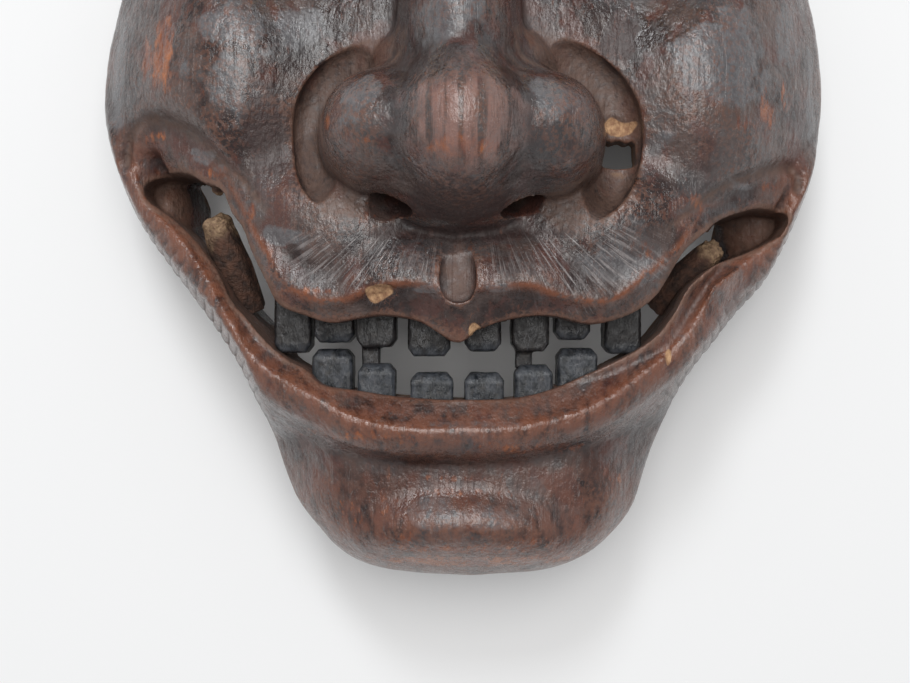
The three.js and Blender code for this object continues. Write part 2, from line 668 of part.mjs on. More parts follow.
// A nostril, from its mouth under a wing into the wood.
function nostril([front, back]) {
  const from = placeOf(front);
  const along = new THREE.Vector3().subVectors(placeOf(back), from).normalize();
  const geometry = new THREE.SphereGeometry(1, roundSteps, roundSteps / 2);
  geometry.scale(nostrilWide, nostrilTall, nostrilDeep);
  geometry.applyQuaternion(new THREE.Quaternion().setFromUnitVectors(new THREE.Vector3(0, 0, -1), along));
  return solidOf(geometry.translate(from.x, from.y, from.z));
}

function carveShell() {
  let wood = carvedBlock(frontGrid, faceHeight).intersect(sideWall());
  ringShares.forEach((shares, i) => {
    wood = wood.subtract(groove(shares, ringHalfShares[i] * halfWide));
  });
  wood = wood.add(carvedNose());
  for (const side of [-1, 1]) wood = wood.add(eyeball(side, 0));
  const hollow = carvedBlock(hollowGrid, hollowHeight);
  wood = wood.subtract(hollow.intersect(solidOf(prism(insetOutline(rimWide + tuckIn), -2 * overrun, noseRise))));
  wood = wood.subtract(solidOf(prism(mouth, -overrun, noseRise))).subtract(rimArch());
  wood = wood.subtract(rod(...philtrumShares.map(placeOf), philtrumHalf));
  for (const shares of nostrilShares) wood = wood.subtract(nostril(shares));
  const breakAt = placeOf(breakShares);
  const breakHole = new THREE.BoxGeometry(breakWide, breakTall, noseRise);
  wood = wood.subtract(solidOf(breakHole.translate(breakAt.x, breakAt.y, noseRise / 2)));
  for (const side of [-1, 1]) {
    const from = placeOf([0, ...cordShares]).setX(side * (halfWide + overrun));
    wood = wood.subtract(rod(from, from.clone().setX(side * (halfWide - rimWide * 2)), cordHalf));
    wood = wood.subtract(plateSeat(side)).subtract(pupil(side));
  }
  for (const shares of upperToothShares) wood = wood.subtract(tooth(shares, true, clearance));
  for (const shares of lowerToothShares) wood = wood.subtract(tooth(shares, false, clearance));
  for (const shares of Object.values(tuskShares)) wood = wood.subtract(tusk(shares, clearance));
  return wood;
}

addPiece("mask_shell", carveShell(), lacquer, 0.38, 0);
upperToothShares.forEach((shares, i) => {
  addPiece(`upper_tooth_${i + 1}`, tooth(shares, true, 0), blackTooth, 0.45, 0);
});
lowerToothShares.forEach((shares, i) => {
  addPiece(`lower_tooth_${i + 1}`, tooth(shares, false, 0), blackTooth, 0.45, 0);
});
for (const [name, shares] of Object.entries(tuskShares)) {
  addPiece(name, tusk(shares, 0), rawWood, 0.8, 0);
}
for (const [name, side] of [["left_eye_plate", -1], ["right_eye_plate", 1]]) {
  addPiece(name, eyePlate(side).subtract(pupil(side)), gilt, 0.35, 0.9);
}

export default mask;
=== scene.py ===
import math
from contextlib import contextmanager

import bpy
import numpy as np
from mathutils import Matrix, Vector


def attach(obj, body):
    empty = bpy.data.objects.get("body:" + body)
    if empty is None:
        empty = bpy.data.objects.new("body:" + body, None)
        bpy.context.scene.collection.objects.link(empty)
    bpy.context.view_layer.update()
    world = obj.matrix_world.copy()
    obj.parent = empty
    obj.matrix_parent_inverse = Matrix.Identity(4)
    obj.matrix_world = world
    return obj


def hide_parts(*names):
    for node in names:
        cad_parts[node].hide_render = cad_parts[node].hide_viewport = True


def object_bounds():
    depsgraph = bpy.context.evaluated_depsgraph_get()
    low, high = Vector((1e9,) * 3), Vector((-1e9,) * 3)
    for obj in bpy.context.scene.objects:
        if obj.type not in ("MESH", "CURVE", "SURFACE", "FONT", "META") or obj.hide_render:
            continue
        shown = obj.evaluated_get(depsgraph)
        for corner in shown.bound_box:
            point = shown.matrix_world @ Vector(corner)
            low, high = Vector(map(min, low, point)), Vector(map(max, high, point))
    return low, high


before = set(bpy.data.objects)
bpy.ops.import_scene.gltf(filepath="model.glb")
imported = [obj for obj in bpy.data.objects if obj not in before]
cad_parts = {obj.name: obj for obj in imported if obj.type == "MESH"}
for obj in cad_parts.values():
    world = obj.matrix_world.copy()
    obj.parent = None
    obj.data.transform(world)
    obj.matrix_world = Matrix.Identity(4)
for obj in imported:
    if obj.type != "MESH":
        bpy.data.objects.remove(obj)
cad_low, cad_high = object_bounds()

# The mask is worked out in millimetres and stands in metres. +Z comes out of the face, +Y points to the
# brow, and left and right are those of someone who looks at the face.
MM = 0.001

# Overall sizes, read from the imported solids
half_wide = (cad_high.x - cad_low.x) / 2 / MM
half_tall = (cad_high.y - cad_low.y) / 2 / MM
nose_rise = cad_high.z / MM

# Side wall and rounded edge of the block
side_rise = 28
chin_rise = 32
edge_rise = 36
edge_round = 48
chin_round = 30
chin_span = (0.7, 0.95)
wall_slope = 4.5
tuck_in = 3
tuck_height = 26
arch_rise = 10
arch_half = 84

# Hollow at the back
wall = 11
rim_wide = 8.5
hollow_foot = 10
hollow_rise = 30
hollow_round = 26
corner_wall = 11
corner_reach = 15
corner_tall = 15
corner_high = 22
corner_foot = 4

# Scoops that the gouge left in it
scoop_wide = 6
scoop_long = 15
scoop_deep = 0.9

# Soft seams between neighbouring forms
broad_seam = 7
nose_seam = 9
lip_seam = 1.2
fold_seam = 3
edge_seam = 5

# Lips
lower_lip_half = 6
lower_lip_drop = 4
lower_lip_fall = 2.4
upper_lip_half = 9
upper_lip_drop = 3.4
lip_turn = 4
upper_turn_drop = 4
lower_turn_drop = 2.2
lip_slope = 0.35
lower_lip_slope = 0.75
corner_slope = 0.1
corner_bend = 5.9
fold_slope = 2
crease_half = 1.3
crease_deep = 1.8
crease_fade = (1, 0.7)
corner_span = (0.52, 0.68)

# Grooves and holes
philtrum_half = 3.7
philtrum_taper = 0.2
philtrum_floor = 5.6
philtrum_top = 4
ring_fade = (1.12, 0.72)
nostril_wide = 5.1
nostril_tall = 3.4
nostril_deep = 13
break_wide = 7.5
break_tall = 6.2
cord_half = 2

# Eyes
eye_across = 37.5
eye_up = 46
eye_wide = 16.5
eye_tall = 12
eye_rise = 14.5
eye_base = 47.5
plate_thick = 1.2
plate_proud = 0.5
plate_wide = 12.5
plate_tall = 8.5
pupil_half = 4.6
socket_dip = 7
socket_spread = 1.45
lid_rise = 3
lid_at = 1.3
lid_half = 0.16
brow_half = 9
brow_rise = 9

clearance = 0.3
overrun = 6

# Unevenness that the knife left: how long its waves are, and how deep
wave_long, wave_deep = 15, 0.28
ripple_long, ripple_deep = 6, 0.14
side_shaved = 0.2
chip_long, chip_deep = 1.6, 0.5

# Short cuts across the sides of the jaw
rows_of_cuts = 92
cut_deep = 0.45
cut_long = 9
cut_reach = (7, 4)
cuts_start = (0.16, 0.24)
cuts_stop = (0.66, 0.55)

# Teeth, tusks and plates
facets = 10
facet_reach = (0.9, 0.97)
upper_tooth_slope = 0.3
lower_tooth_slope = 1.3
tooth_slope_long = 2.4
tooth_wave_long, tooth_wave_deep = 2.6, 0.1
tooth_speck_long, tooth_speck_deep = 1.1, 0.06
tooth_shaved = 0.08
post_reach = 1.2
split_long, split_deep = 1.5, 0.35
tip_speck_long, tip_speck_deep = 1.1, 0.5
tusk_shaved = 0.25
tip_shaved = 0.3
dent_long, dent_deep = 3, 0.06

# Lines, bands and dust that the lacquer's marks follow
upper_line_half = 0.8
line_start = (0.1, 0.22)
line_stop = (0.92, 0.8)
line_break = (0.16, 0.06)
lower_line_half = 1.1
lower_line_share = 0.45
lip_band_half = 7
chin_brown_share = 0.7
chin_brown_span = (0.62, 0.9)
streak_foot_share = 0.58
ring_dust = (0.6, 0.65)
crease_dust_half = 1.1
mouth_dust_reach = 1.2
mouth_dust_span = (0.3, 0.45)

# How finely the wood is carved
carve_step = 0.7
nose_step = 0.5
hollow_step = 1.4
grain_of_shell = 0.55
shell_faces = 190000
grain_of_teeth = 0.38
grain_of_plates = 0.32
crumb = 0.02
merged_within = 0.001

# Colors of the mask's lacquer, from its lowest coat up, with the colours of its painted sheen and painted
# shade among them
near_black = (0.024, 0.012, 0.011)
warm_brown = (0.1, 0.068, 0.06)
red_brown = (0.095, 0.034, 0.026)
cool_grey = (0.085, 0.084, 0.088)
# The paler greys of the lacquer, with a painted sheen where the light's reflection shows
dull_haze = (0.09, 0.087, 0.092)
pale_haze = (0.185, 0.182, 0.19)
# Dark red lacquer, also used as painted shade under the nose and the lips
deep_red = (0.034, 0.014, 0.012)
cloud_black = (0.018, 0.01, 0.009)
band_brown = (0.2, 0.082, 0.052)
ember_edge = (0.1, 0.035, 0.024)
dim_ember = (0.15, 0.04, 0.02)
bright_ember = (0.4, 0.125, 0.035)
worn_edge = (0.18, 0.078, 0.048)
pink_brown = (0.27, 0.15, 0.125)
grain_black = (0.02, 0.013, 0.012)
stroke_black = (0.02, 0.011, 0.011)
stroke_grey = (0.27, 0.24, 0.235)
crack_orange = (0.28, 0.11, 0.055)
scratch_grey = (0.29, 0.26, 0.25)
crazing_red = (0.22, 0.085, 0.05)
lip_red = (0.2, 0.062, 0.025)
# Painted shade in the crevices
crevice_shade = (0.022, 0.012, 0.01)
dust_brown = (0.145, 0.078, 0.052)
dark_chip = (0.24, 0.12, 0.06)
bright_chip = (0.5, 0.3, 0.16)
dark_wood = (0.1, 0.052, 0.03)
bright_wood = (0.2, 0.115, 0.068)

# Colors of the teeth, the tusks, the plates and the cloth
tooth_black = (0.009, 0.011, 0.014)
tooth_blue = (0.034, 0.038, 0.046)
tooth_edge = (0.11, 0.115, 0.125)
tooth_shade = (0.011, 0.009, 0.009)
tooth_crack = (0.12, 0.12, 0.13)
tooth_dust = (0.14, 0.11, 0.09)
tusk_black = (0.035, 0.018, 0.013)
tusk_brown = (0.1, 0.045, 0.028)
dark_break = (0.17, 0.1, 0.06)
bright_break = (0.4, 0.27, 0.16)
tusk_edge = (0.24, 0.13, 0.08)
tusk_crevice_dark = (0.04, 0.022, 0.016)
gilt = (0.72, 0.46, 0.16)
worn_copper = (0.45, 0.25, 0.1)
tarnish_brown = (0.07, 0.045, 0.03)
cloth_white = (0.8, 0.8, 0.805)
cloth_glow = 0.035

# Light from all round, and the camera, with the photo's width and the lens's length in pixels
sky = (0.97, 0.985, 1, 1)
sky_strength = 0.38
photo_wide = 910
photo_tall = 683
lens_long = 1261.5
film_wide = 36
camera_place = (-0.0018, -0.0492, 0.330)

outline_shares = [
    (0, -1), (0.136, -0.998), (0.25, -0.985), (0.35, -0.948), (0.412, -0.907), (0.47, -0.849),
    (0.505, -0.773), (0.542, -0.687), (0.585, -0.605), (0.647, -0.526), (0.697, -0.475),
    (0.755, -0.414), (0.836, -0.343), (0.895, -0.253), (0.922, -0.199), (0.969, -0.106), (0.994, 0),
    (1, 0.11), (0.98, 0.267), (0.92, 0.436), (0.833, 0.597), (0.686, 0.782), (0.499, 0.92),
    (0.25, 0.985), (0, 1), (-0.25, 0.985), (-0.499, 0.92), (-0.692, 0.782), (-0.825, 0.597),
    (-0.905, 0.436), (-0.972, 0.25), (-1, 0.11), (-0.994, 0.03), (-0.957, -0.09), (-0.893, -0.206),
    (-0.814, -0.3), (-0.723, -0.398), (-0.642, -0.498), (-0.574, -0.61), (-0.535, -0.666),
    (-0.493, -0.759), (-0.457, -0.829), (-0.398, -0.893), (-0.338, -0.942), (-0.251, -0.979),
    (-0.122, -0.995),
]
upper_crest_shares = [
    (-0.891, -0.069, 0.384), (-0.884, -0.046, 0.395), (-0.863, -0.022, 0.411), (-0.831, -0.008, 0.432),
    (-0.788, -0.01, 0.453), (-0.726, -0.038, 0.479), (-0.673, -0.073, 0.505), (-0.625, -0.111, 0.526),
    (-0.58, -0.165, 0.55), (-0.533, -0.238, 0.58), (-0.498, -0.285, 0.6), (-0.473, -0.328, 0.61),
    (-0.434, -0.359, 0.62), (-0.385, -0.382, 0.63), (-0.336, -0.389, 0.64), (-0.283, -0.383, 0.65),
    (-0.242, -0.367, 0.66), (-0.182, -0.357, 0.675), (-0.123, -0.355, 0.68), (-0.065, -0.365, 0.69),
    (-0.016, -0.381, 0.695), (0.029, -0.367, 0.695), (0.096, -0.362, 0.685), (0.161, -0.357, 0.675),
    (0.242, -0.38, 0.66), (0.297, -0.388, 0.65), (0.351, -0.389, 0.64), (0.388, -0.379, 0.63),
    (0.435, -0.349, 0.62), (0.481, -0.32, 0.61), (0.53, -0.289, 0.59), (0.568, -0.247, 0.575),
    (0.6, -0.203, 0.558), (0.66, -0.176, 0.516), (0.725, -0.151, 0.484), (0.786, -0.134, 0.453),
    (0.839, -0.122, 0.432), (0.875, -0.121, 0.411), (0.889, -0.135, 0.4),
]
lower_crest_shares = [
    (-0.891, -0.08, 0.384), (-0.88, -0.119, 0.389), (-0.85, -0.168, 0.4), (-0.758, -0.241, 0.44),
    (-0.68, -0.322, 0.48), (-0.614, -0.408, 0.53), (-0.553, -0.486, 0.56), (-0.499, -0.528, 0.57),
    (-0.421, -0.566, 0.59), (-0.345, -0.597, 0.6), (-0.274, -0.629, 0.61), (-0.15, -0.647, 0.63),
    (-0.012, -0.65, 0.63), (0.118, -0.647, 0.63), (0.235, -0.629, 0.61), (0.313, -0.608, 0.6),
    (0.375, -0.582, 0.59), (0.439, -0.546, 0.57), (0.532, -0.489, 0.54), (0.571, -0.459, 0.53),
    (0.611, -0.412, 0.51), (0.65, -0.351, 0.48), (0.705, -0.32, 0.46), (0.78, -0.28, 0.43),
    (0.835, -0.243, 0.411), (0.871, -0.199, 0.4), (0.888, -0.157, 0.395),
]
# Creases between the rolled corners of the lips and the cheeks
crease_shares = [
    [
        (-0.91, -0.075, 0.379), (-0.9, -0.034, 0.389), (-0.877, -0.005, 0.4), (-0.839, 0.01, 0.421),
        (-0.791, 0.009, 0.442), (-0.717, -0.019, 0.484), (-0.658, -0.056, 0.516), (-0.61, -0.097, 0.537),
        (-0.553, -0.143, 0.568), (-0.502, -0.196, 0.6), (-0.451, -0.244, 0.632),
    ],
    [
        (0.904, -0.134, 0.389), (0.901, -0.106, 0.395), (0.875, -0.089, 0.411), (0.821, -0.098, 0.442),
        (0.77, -0.109, 0.463), (0.72, -0.124, 0.484), (0.668, -0.144, 0.505), (0.617, -0.17, 0.537),
        (0.582, -0.194, 0.558), (0.532, -0.227, 0.589), (0.481, -0.268, 0.621),
    ],
]
mouth_shares = [
    (-0.863, -0.126), (-0.849, -0.112), (-0.806, -0.102), (-0.763, -0.102), (-0.716, -0.111),
    (-0.676, -0.132), (-0.628, -0.148), (-0.598, -0.2), (-0.57, -0.229), (-0.542, -0.283),
    (-0.502, -0.344), (-0.469, -0.392), (-0.404, -0.416), (-0.333, -0.433), (-0.27, -0.424),
    (-0.199, -0.418), (-0.106, -0.431), (-0.065, -0.451), (-0.014, -0.474), (0.023, -0.457),
    (0.058, -0.441), (0.146, -0.422), (0.216, -0.418), (0.33, -0.435), (0.426, -0.414), (0.494, -0.375),
    (0.518, -0.344), (0.563, -0.283), (0.611, -0.248), (0.661, -0.216), (0.737, -0.193),
    (0.788, -0.181), (0.837, -0.184), (0.876, -0.189), (0.86, -0.229), (0.819, -0.252), (0.761, -0.274),
    (0.689, -0.295), (0.628, -0.323), (0.577, -0.362), (0.551, -0.401), (0.499, -0.455),
    (0.449, -0.486), (0.354, -0.526), (0.239, -0.567), (0.137, -0.59), (-0.011, -0.592),
    (-0.151, -0.587), (-0.268, -0.574), (-0.364, -0.56), (-0.399, -0.531), (-0.451, -0.508),
    (-0.502, -0.474), (-0.556, -0.425), (-0.601, -0.382), (-0.644, -0.321), (-0.687, -0.276),
    (-0.745, -0.224), (-0.798, -0.188), (-0.853, -0.154),
]

# Broad swellings: middle across and up, half width, half height, top, and what has dropped at that half width
broad_swell_shares = [
    (0, 0.19, 1, 1.07, 0.6, 0.19),  # skull
    (0, 0.65, 0.72, 0.4, 0.63, 0.17),  # forehead
    (-0.62, 0.105, 0.4, 0.36, 0.64, 0.23),  # left cheek
    (0.64, 0.067, 0.4, 0.36, 0.64, 0.23),  # right cheek
    (-0.34, -0.25, 0.27, 0.145, 0.655, 0.07),  # left half of the upper lip
    (0.36, -0.26, 0.27, 0.145, 0.655, 0.07),  # right half of the upper lip
    (0, -0.69, 0.56, 0.38, 0.525, 0.105),  # jaw
    (0, -0.885, 0.215, 0.085, 0.6, 0.085),  # chin
]
# Rounded forms of the nose: middle across and up, half width, half height, base, and rise over the base
nose_shares = [
    (-0.003, -0.045, 0.345, 0.18, 0.5, 0.41),  # whole bulk
    (-0.005, -0.055, 0.165, 0.165, 0.7, 0.3),  # tip
    (-0.01, 0.14, 0.17, 0.37, 0.5, 0.39),  # bridge
    (0, 0.1, 0.25, 0.12, 0.5, 0.25),  # foot of the bridge
    (-0.215, -0.045, 0.145, 0.13, 0.6, 0.25),  # left wing
    (0.21, -0.05, 0.145, 0.13, 0.6, 0.25),  # right wing
    (-0.012, -0.14, 0.215, 0.12, 0.55, 0.22),  # under the tip
]
nose_block_shares = (0.42, -0.3, 0.62, 0.38)
nose_hollow_shares = (0, -0.03, 0.24, 0.24, 0.42, 0.27)
cap_end_share = 0.93
# Spots on the lacquer, as the photo shows them in pixels: middle across and down, half width and half height,
# strength, and how high over the ground the wood is there
orange_spots = [
    (166, 55, 15, 42, 1, 48), (150, 66, 5, 25, 1, 44), (157, 141, 16, 7, 0.6, 38),
    (214, 172, 15, 6, 0.5, 52), (250, 210, 5, 10, 0.9, 56), (768, 113, 10, 16, 0.9, 50),
    (786, 100, 5, 24, 0.7, 46), (748, 124, 14, 5, 0.6, 54), (765, 186, 14, 5, 0.6, 42),
    (692, 204, 9, 7, 0.6, 48), (458, 150, 42, 8, 0.8, 86), (327, 122, 5, 12, 0.8, 72),
    (350, 78, 13, 3, 0.7, 70), (366, 142, 11, 3, 0.6, 78), (592, 108, 6, 6, 0.5, 74),
    (270, 258, 7, 16, 0.8, 58), (310, 291, 42, 5, 0.6, 62), (437, 268, 3, 9, 0.6, 66),
    (475, 280, 3, 12, 0.7, 66), (366, 220, 11, 12, 0.45, 64), (470, 551, 85, 8, 0.7, 52),
    (402, 543, 18, 9, 0.45, 56), (530, 546, 28, 8, 0.5, 54), (605, 545, 30, 6, 0.6, 42),
    (385, 508, 10, 14, 0.45, 56), (350, 437, 60, 6, 0.6, 58), (535, 449, 60, 6, 0.65, 58),
    (440, 480, 66, 4, 0.5, 52), (460, 494, 56, 4, 0.5, 54), (645, 262, 9, 20, 0.4, 60),
    (470, 559, 125, 9, 0.9, 40), (340, 520, 30, 30, 0.3, 44), (620, 470, 20, 30, 0.3, 40),
]
raw_spots = [
    (378, 291, 16, 8, 1, 65), (666, 358, 3, 9, 1, 48), (475, 330, 6, 7, 0.8, 64),
    (620, 126, 16, 9, 1, 54), (622, 172, 15, 7, 0.35, 54),
]
# Greyer lacquer, with a painted sheen and painted highlights where faces turn up towards the light
haze_spots = [
    (230, 22, 42, 26, 0.8, 60), (232, 84, 24, 44, 0.65, 60), (296, 20, 26, 22, 1, 60),
    (258, 52, 13, 7, 1, 60), (187, 78, 9, 16, 0.7, 52), (118, 70, 12, 70, 0.75, 36),
    (362, 94, 22, 22, 1, 76), (351, 125, 13, 9, 0.6, 72), (550, 96, 24, 27, 0.75, 76),
    (450, 14, 46, 26, 0.8, 80), (722, 58, 52, 52, 1, 60), (792, 30, 22, 42, 0.6, 48),
    (662, 120, 20, 30, 0.5, 58), (810, 100, 8, 66, 0.7, 34), (276, 236, 22, 11, 1, 60),
    (640, 272, 18, 20, 0.9, 60), (612, 262, 34, 22, 0.7, 60), (602, 250, 30, 18, 0.5, 62),
    (430, 288, 18, 4, 1, 67), (500, 287, 24, 4, 0.9, 67), (430, 515, 25, 17, 1, 56),
    (487, 521, 28, 16, 0.85, 56), (470, 425, 60, 3, 1, 60), (682, 318, 10, 27, 0.9, 50),
    (205, 155, 18, 5, 0.9, 50), (520, 455, 90, 5, 0.3, 56), (500, 345, 90, 6, 0.6, 60),
    (720, 265, 8, 20, 0.5, 45), (192, 149, 7, 4, 1, 50), (205, 157, 7, 4, 1, 52),
    (218, 166, 7, 4, 0.9, 54), (735, 187, 26, 5, 0.7, 44),
]
# Dark red-brown lacquer, and painted shade under the nose, in the seam over the upper lip, at the mouth's
# lower edge and under the lower lip
dark_spots = [
    (268, 128, 26, 52, 1, 60), (300, 160, 14, 40, 0.8, 58), (622, 34, 20, 36, 0.8, 62),
    (455, 200, 76, 17, 0.85, 76), (455, 229, 120, 8, 0.9, 70), (575, 152, 20, 14, 0.7, 72),
    (428, 262, 34, 13, 0.7, 66), (520, 262, 22, 15, 0.8, 66), (560, 520, 20, 24, 0.5, 50),
    (700, 155, 40, 22, 0.45, 56), (400, 40, 10, 40, 0.4, 66), (470, 400, 150, 10, 0.35, 50),
    (430, 470, 90, 8, 0.4, 50),
]
# Places on the surface: across and up, half width and half height, and strength
stroke_shares = (0.05, -0.1)
stroke_spots = [(-0.26, -0.31, 0.17, 0.06, 1), (0.28, -0.3, 0.2, 0.075, 1)]
streak_spots = [(0.005, -0.065, 0.12, 0.075, 1), (-0.014, -0.33, 0.035, 0.045, 0.4)]

brow_shares = [(-0.76, 0.44), (-0.62, 0.56), (-0.45, 0.61), (-0.27, 0.57), (-0.1, 0.44)]
ring_shares = [
    [
        (-0.185, 0.125, 0.68), (-0.247, 0.116, 0.61), (-0.309, 0.094, 0.585), (-0.354, 0.058, 0.575),
        (-0.384, 0.007, 0.57), (-0.389, -0.055, 0.57), (-0.377, -0.117, 0.585), (-0.342, -0.162, 0.645),
        (-0.292, -0.19, 0.77),
    ],
    [
        (0.18, 0.125, 0.68), (0.247, 0.116, 0.61), (0.322, 0.085, 0.585), (0.373, 0.038, 0.575),
        (0.398, -0.014, 0.57), (0.398, -0.075, 0.57), (0.373, -0.137, 0.58), (0.317, -0.185, 0.65),
        (0.26, -0.203, 0.77),
    ],
]
ring_half_shares = [0.042, 0.054]
break_shares = (0.4, -0.073)
break_edge_shares = [
    (-1, -0.9), (0, -1), (1, -0.9), (0.95, 0.4), (1, 1), (0.5, 0.7), (0.1, 1), (-0.4, 0.8), (-0.9, 1.1),
]
corner_shares = [(-0.84, -0.17), (0.86, -0.21)]
corner_wides = [9, 15]
philtrum_shares = [(-0.014, -0.262, 0.72), (-0.014, -0.392, 0.72)]
nostril_shares = [
    ((-0.184, -0.2, 0.66), (-0.13, -0.08, 0.47)),
    ((0.15, -0.2, 0.66), (0.1, -0.08, 0.47)),
]
cord_shares = (0.17, 0.2)
tusk_ends = {
    "left_upper_tusk_stub": [(-0.622, -0.095, 0.47), (-0.655, -0.148, 0.43)],
    "left_lower_tusk_stump": [(-0.598, -0.4, 0.3), (-0.668, -0.19, 0.4)],
    "right_upper_tusk_stub": [(0.668, -0.155, 0.475), (0.632, -0.232, 0.42)],
    "right_lower_tusk_stump": [(0.54, -0.395, 0.3), (0.69, -0.252, 0.39)],
}


def place_of(share):
    """The place that shares of the half width, the half height and the nose's rise name."""
    across, up, out = (*share, 0)[:3]
    return (across * half_wide, up * half_tall, out * nose_rise)


def read_off(spots):
    """Spots read off the photo in pixels, as places on the surface under the camera."""
    camera_across, camera_up, camera_high = (place / MM for place in camera_place)
    places = []
    for across, down, wide, tall, strength, high in spots:
        pixel = (camera_high - high) / lens_long
        x = camera_across + (across - photo_wide / 2) * pixel
        y = camera_up - (down - photo_tall / 2) * pixel
        half_across, half_up = wide * pixel / half_wide, tall * pixel / half_tall
        places.append((x / half_wide, y / half_tall, half_across, half_up, strength))
    return places


def flowing_line(shares, closed, steps):
    """Evenly spaced points on a smooth line through the places."""
    p = np.array([place_of(s) for s in shares], float)
    if closed:
        p = np.vstack([p[-1:], p, p[:2]])
    else:
        p = np.vstack([2 * p[:1] - p[1:2], p, 2 * p[-1:] - p[-2:-1]])
    dense = []
    for i in range(1, len(p) - 2):
        a, b, c, d = p[i - 1], p[i], p[i + 1], p[i + 2]
        ab, bc, cd = (max(np.linalg.norm(e), 1e-6) ** 0.5 for e in (b - a, c - b, d - c))
        start = ((b - a) / ab - (c - a) / (ab + bc) + (c - b) / bc) * bc
        end = ((c - b) / bc - (d - b) / (bc + cd) + (d - c) / cd) * bc
        t = np.linspace(0, 1, 12, endpoint=False)[:, None]
        dense.append(
            b + start * t + (3 * (c - b) - 2 * start - end) * t**2 + (2 * (b - c) + start + end) * t**3
        )
    dense = np.vstack([*dense, p[-2:-1]])
    along = np.concatenate([[0], np.cumsum(np.linalg.norm(np.diff(dense, axis=0), axis=1))])
    wanted = np.linspace(0, along[-1], steps + 1)
    points = np.column_stack([np.interp(wanted, along, dense[:, k]) for k in range(3)])
    return points[:-1] if closed else points


def nearest(points, x, y, closed=False):
    """How far off the nearest place on the points is in plan, its height, and how far along it lies."""
    gap = np.full(x.shape, 1e9)
    height = np.zeros(x.shape)
    share = np.zeros(x.shape)
    ends = len(points) if closed else len(points) - 1
    for i in range(ends):
        a, b = points[i], points[(i + 1) % len(points)]
        dx, dy = b[0] - a[0], b[1] - a[1]
        along = np.clip(((x - a[0]) * dx + (y - a[1]) * dy) / (dx * dx + dy * dy), 0, 1)
        off = np.hypot(a[0] + along * dx - x, a[1] + along * dy - y)
        closer = off < gap
        gap[closer] = off[closer]
        height[closer] = (a[2] + along * (b[2] - a[2]))[closer]
        share[closer] = ((i + along) / ends)[closer]
    return gap, height, share


def is_inside(points, x, y):
    odd = np.zeros(x.shape, bool)
    for a, b in zip(points, np.roll(points, -1, axis=0)):
        if a[1] == b[1]:
            continue
        crosses = (a[1] > y) != (b[1] > y)
        odd ^= crosses & (x < a[0] + (y - a[1]) / (b[1] - a[1]) * (b[0] - a[0]))
    return odd


def blend_max(a, b, soft):
    """The higher of two heights, with the seam between them rounded."""
    near = np.maximum(soft - np.abs(a - b), 0) / soft
    return np.maximum(a, b) + near * near * soft / 4


def blend_min(a, b, soft):
    return -blend_max(-a, -b, soft)


def smooth_step(value, low, high):
    share = np.clip((value - low) / (high - low), 0, 1)
    return share * share * (3 - 2 * share)


outline = flowing_line(outline_shares, True, 216)
upper_crest = flowing_line(upper_crest_shares, False, 160)
lower_crest = flowing_line(lower_crest_shares, False, 160)
creases = [flowing_line(shares, False, 60) for shares in crease_shares]
rings = [flowing_line(shares, False, 60) for shares in ring_shares]
lips = np.vstack([upper_crest, lower_crest[::-1]])
mouth = flowing_line(mouth_shares, True, 220)
brow = flowing_line(brow_shares, False, 30)


def inset_outline(distance):
    along = np.roll(outline, -1, axis=0) - np.roll(outline, 1, axis=0)
    along /= np.linalg.norm(along, axis=1)[:, None]
    return outline + np.column_stack([-along[:, 1], along[:, 0], 0 * along[:, 0]]) * distance


def inside_by(x, y):
    gap = nearest(outline, x, y, True)[0]
    return np.where(is_inside(outline, x, y), gap, -gap)


def edge_height(inwards, rise, reach):
    share = np.clip(inwards / reach, -1, 1)
    return np.where(share > 0, rise * share * (2 - share), rise * 2 * share)


def quadratic(lobe, x, y):
    return ((x / half_wide - lobe[0]) / lobe[2]) ** 2 + ((y / half_tall - lobe[1]) / lobe[3]) ** 2


def broad_height(x, y):
    height = None
    for lobe in broad_swell_shares:
        top = (lobe[4] - lobe[5] * quadratic(lobe, x, y)) * nose_rise
        height = top if height is None else blend_max(height, top, broad_seam)
    return height


def rounded_height(lobe, x, y):
    q = quadratic(lobe, x, y)
    end = math.sqrt(1 - cap_end_share)
    cap = np.where(q < cap_end_share, np.sqrt(np.maximum(1 - q, 0)), end - (q - cap_end_share) / (2 * end))
    return (lobe[4] + lobe[5] * cap) * nose_rise


def nose_height(x, y):
    height = None
    for lobe in nose_shares:
        top = rounded_height(lobe, x, y)
        height = top if height is None else blend_max(height, top, nose_seam)
    return height


def eyeballs_off(x, y):
    """Distance from the middle of the nearer eye, in eyeballs."""
    return np.hypot((np.abs(x) - eye_across) / eye_wide, (y - eye_up) / eye_tall)


def eye_dip(x, y):
    return socket_dip * np.exp(-((eyeballs_off(x, y) / socket_spread) ** 2))


def lid_lift(x, y):
    return lid_rise * np.exp(-(((eyeballs_off(x, y) - lid_at) / lid_half) ** 2))


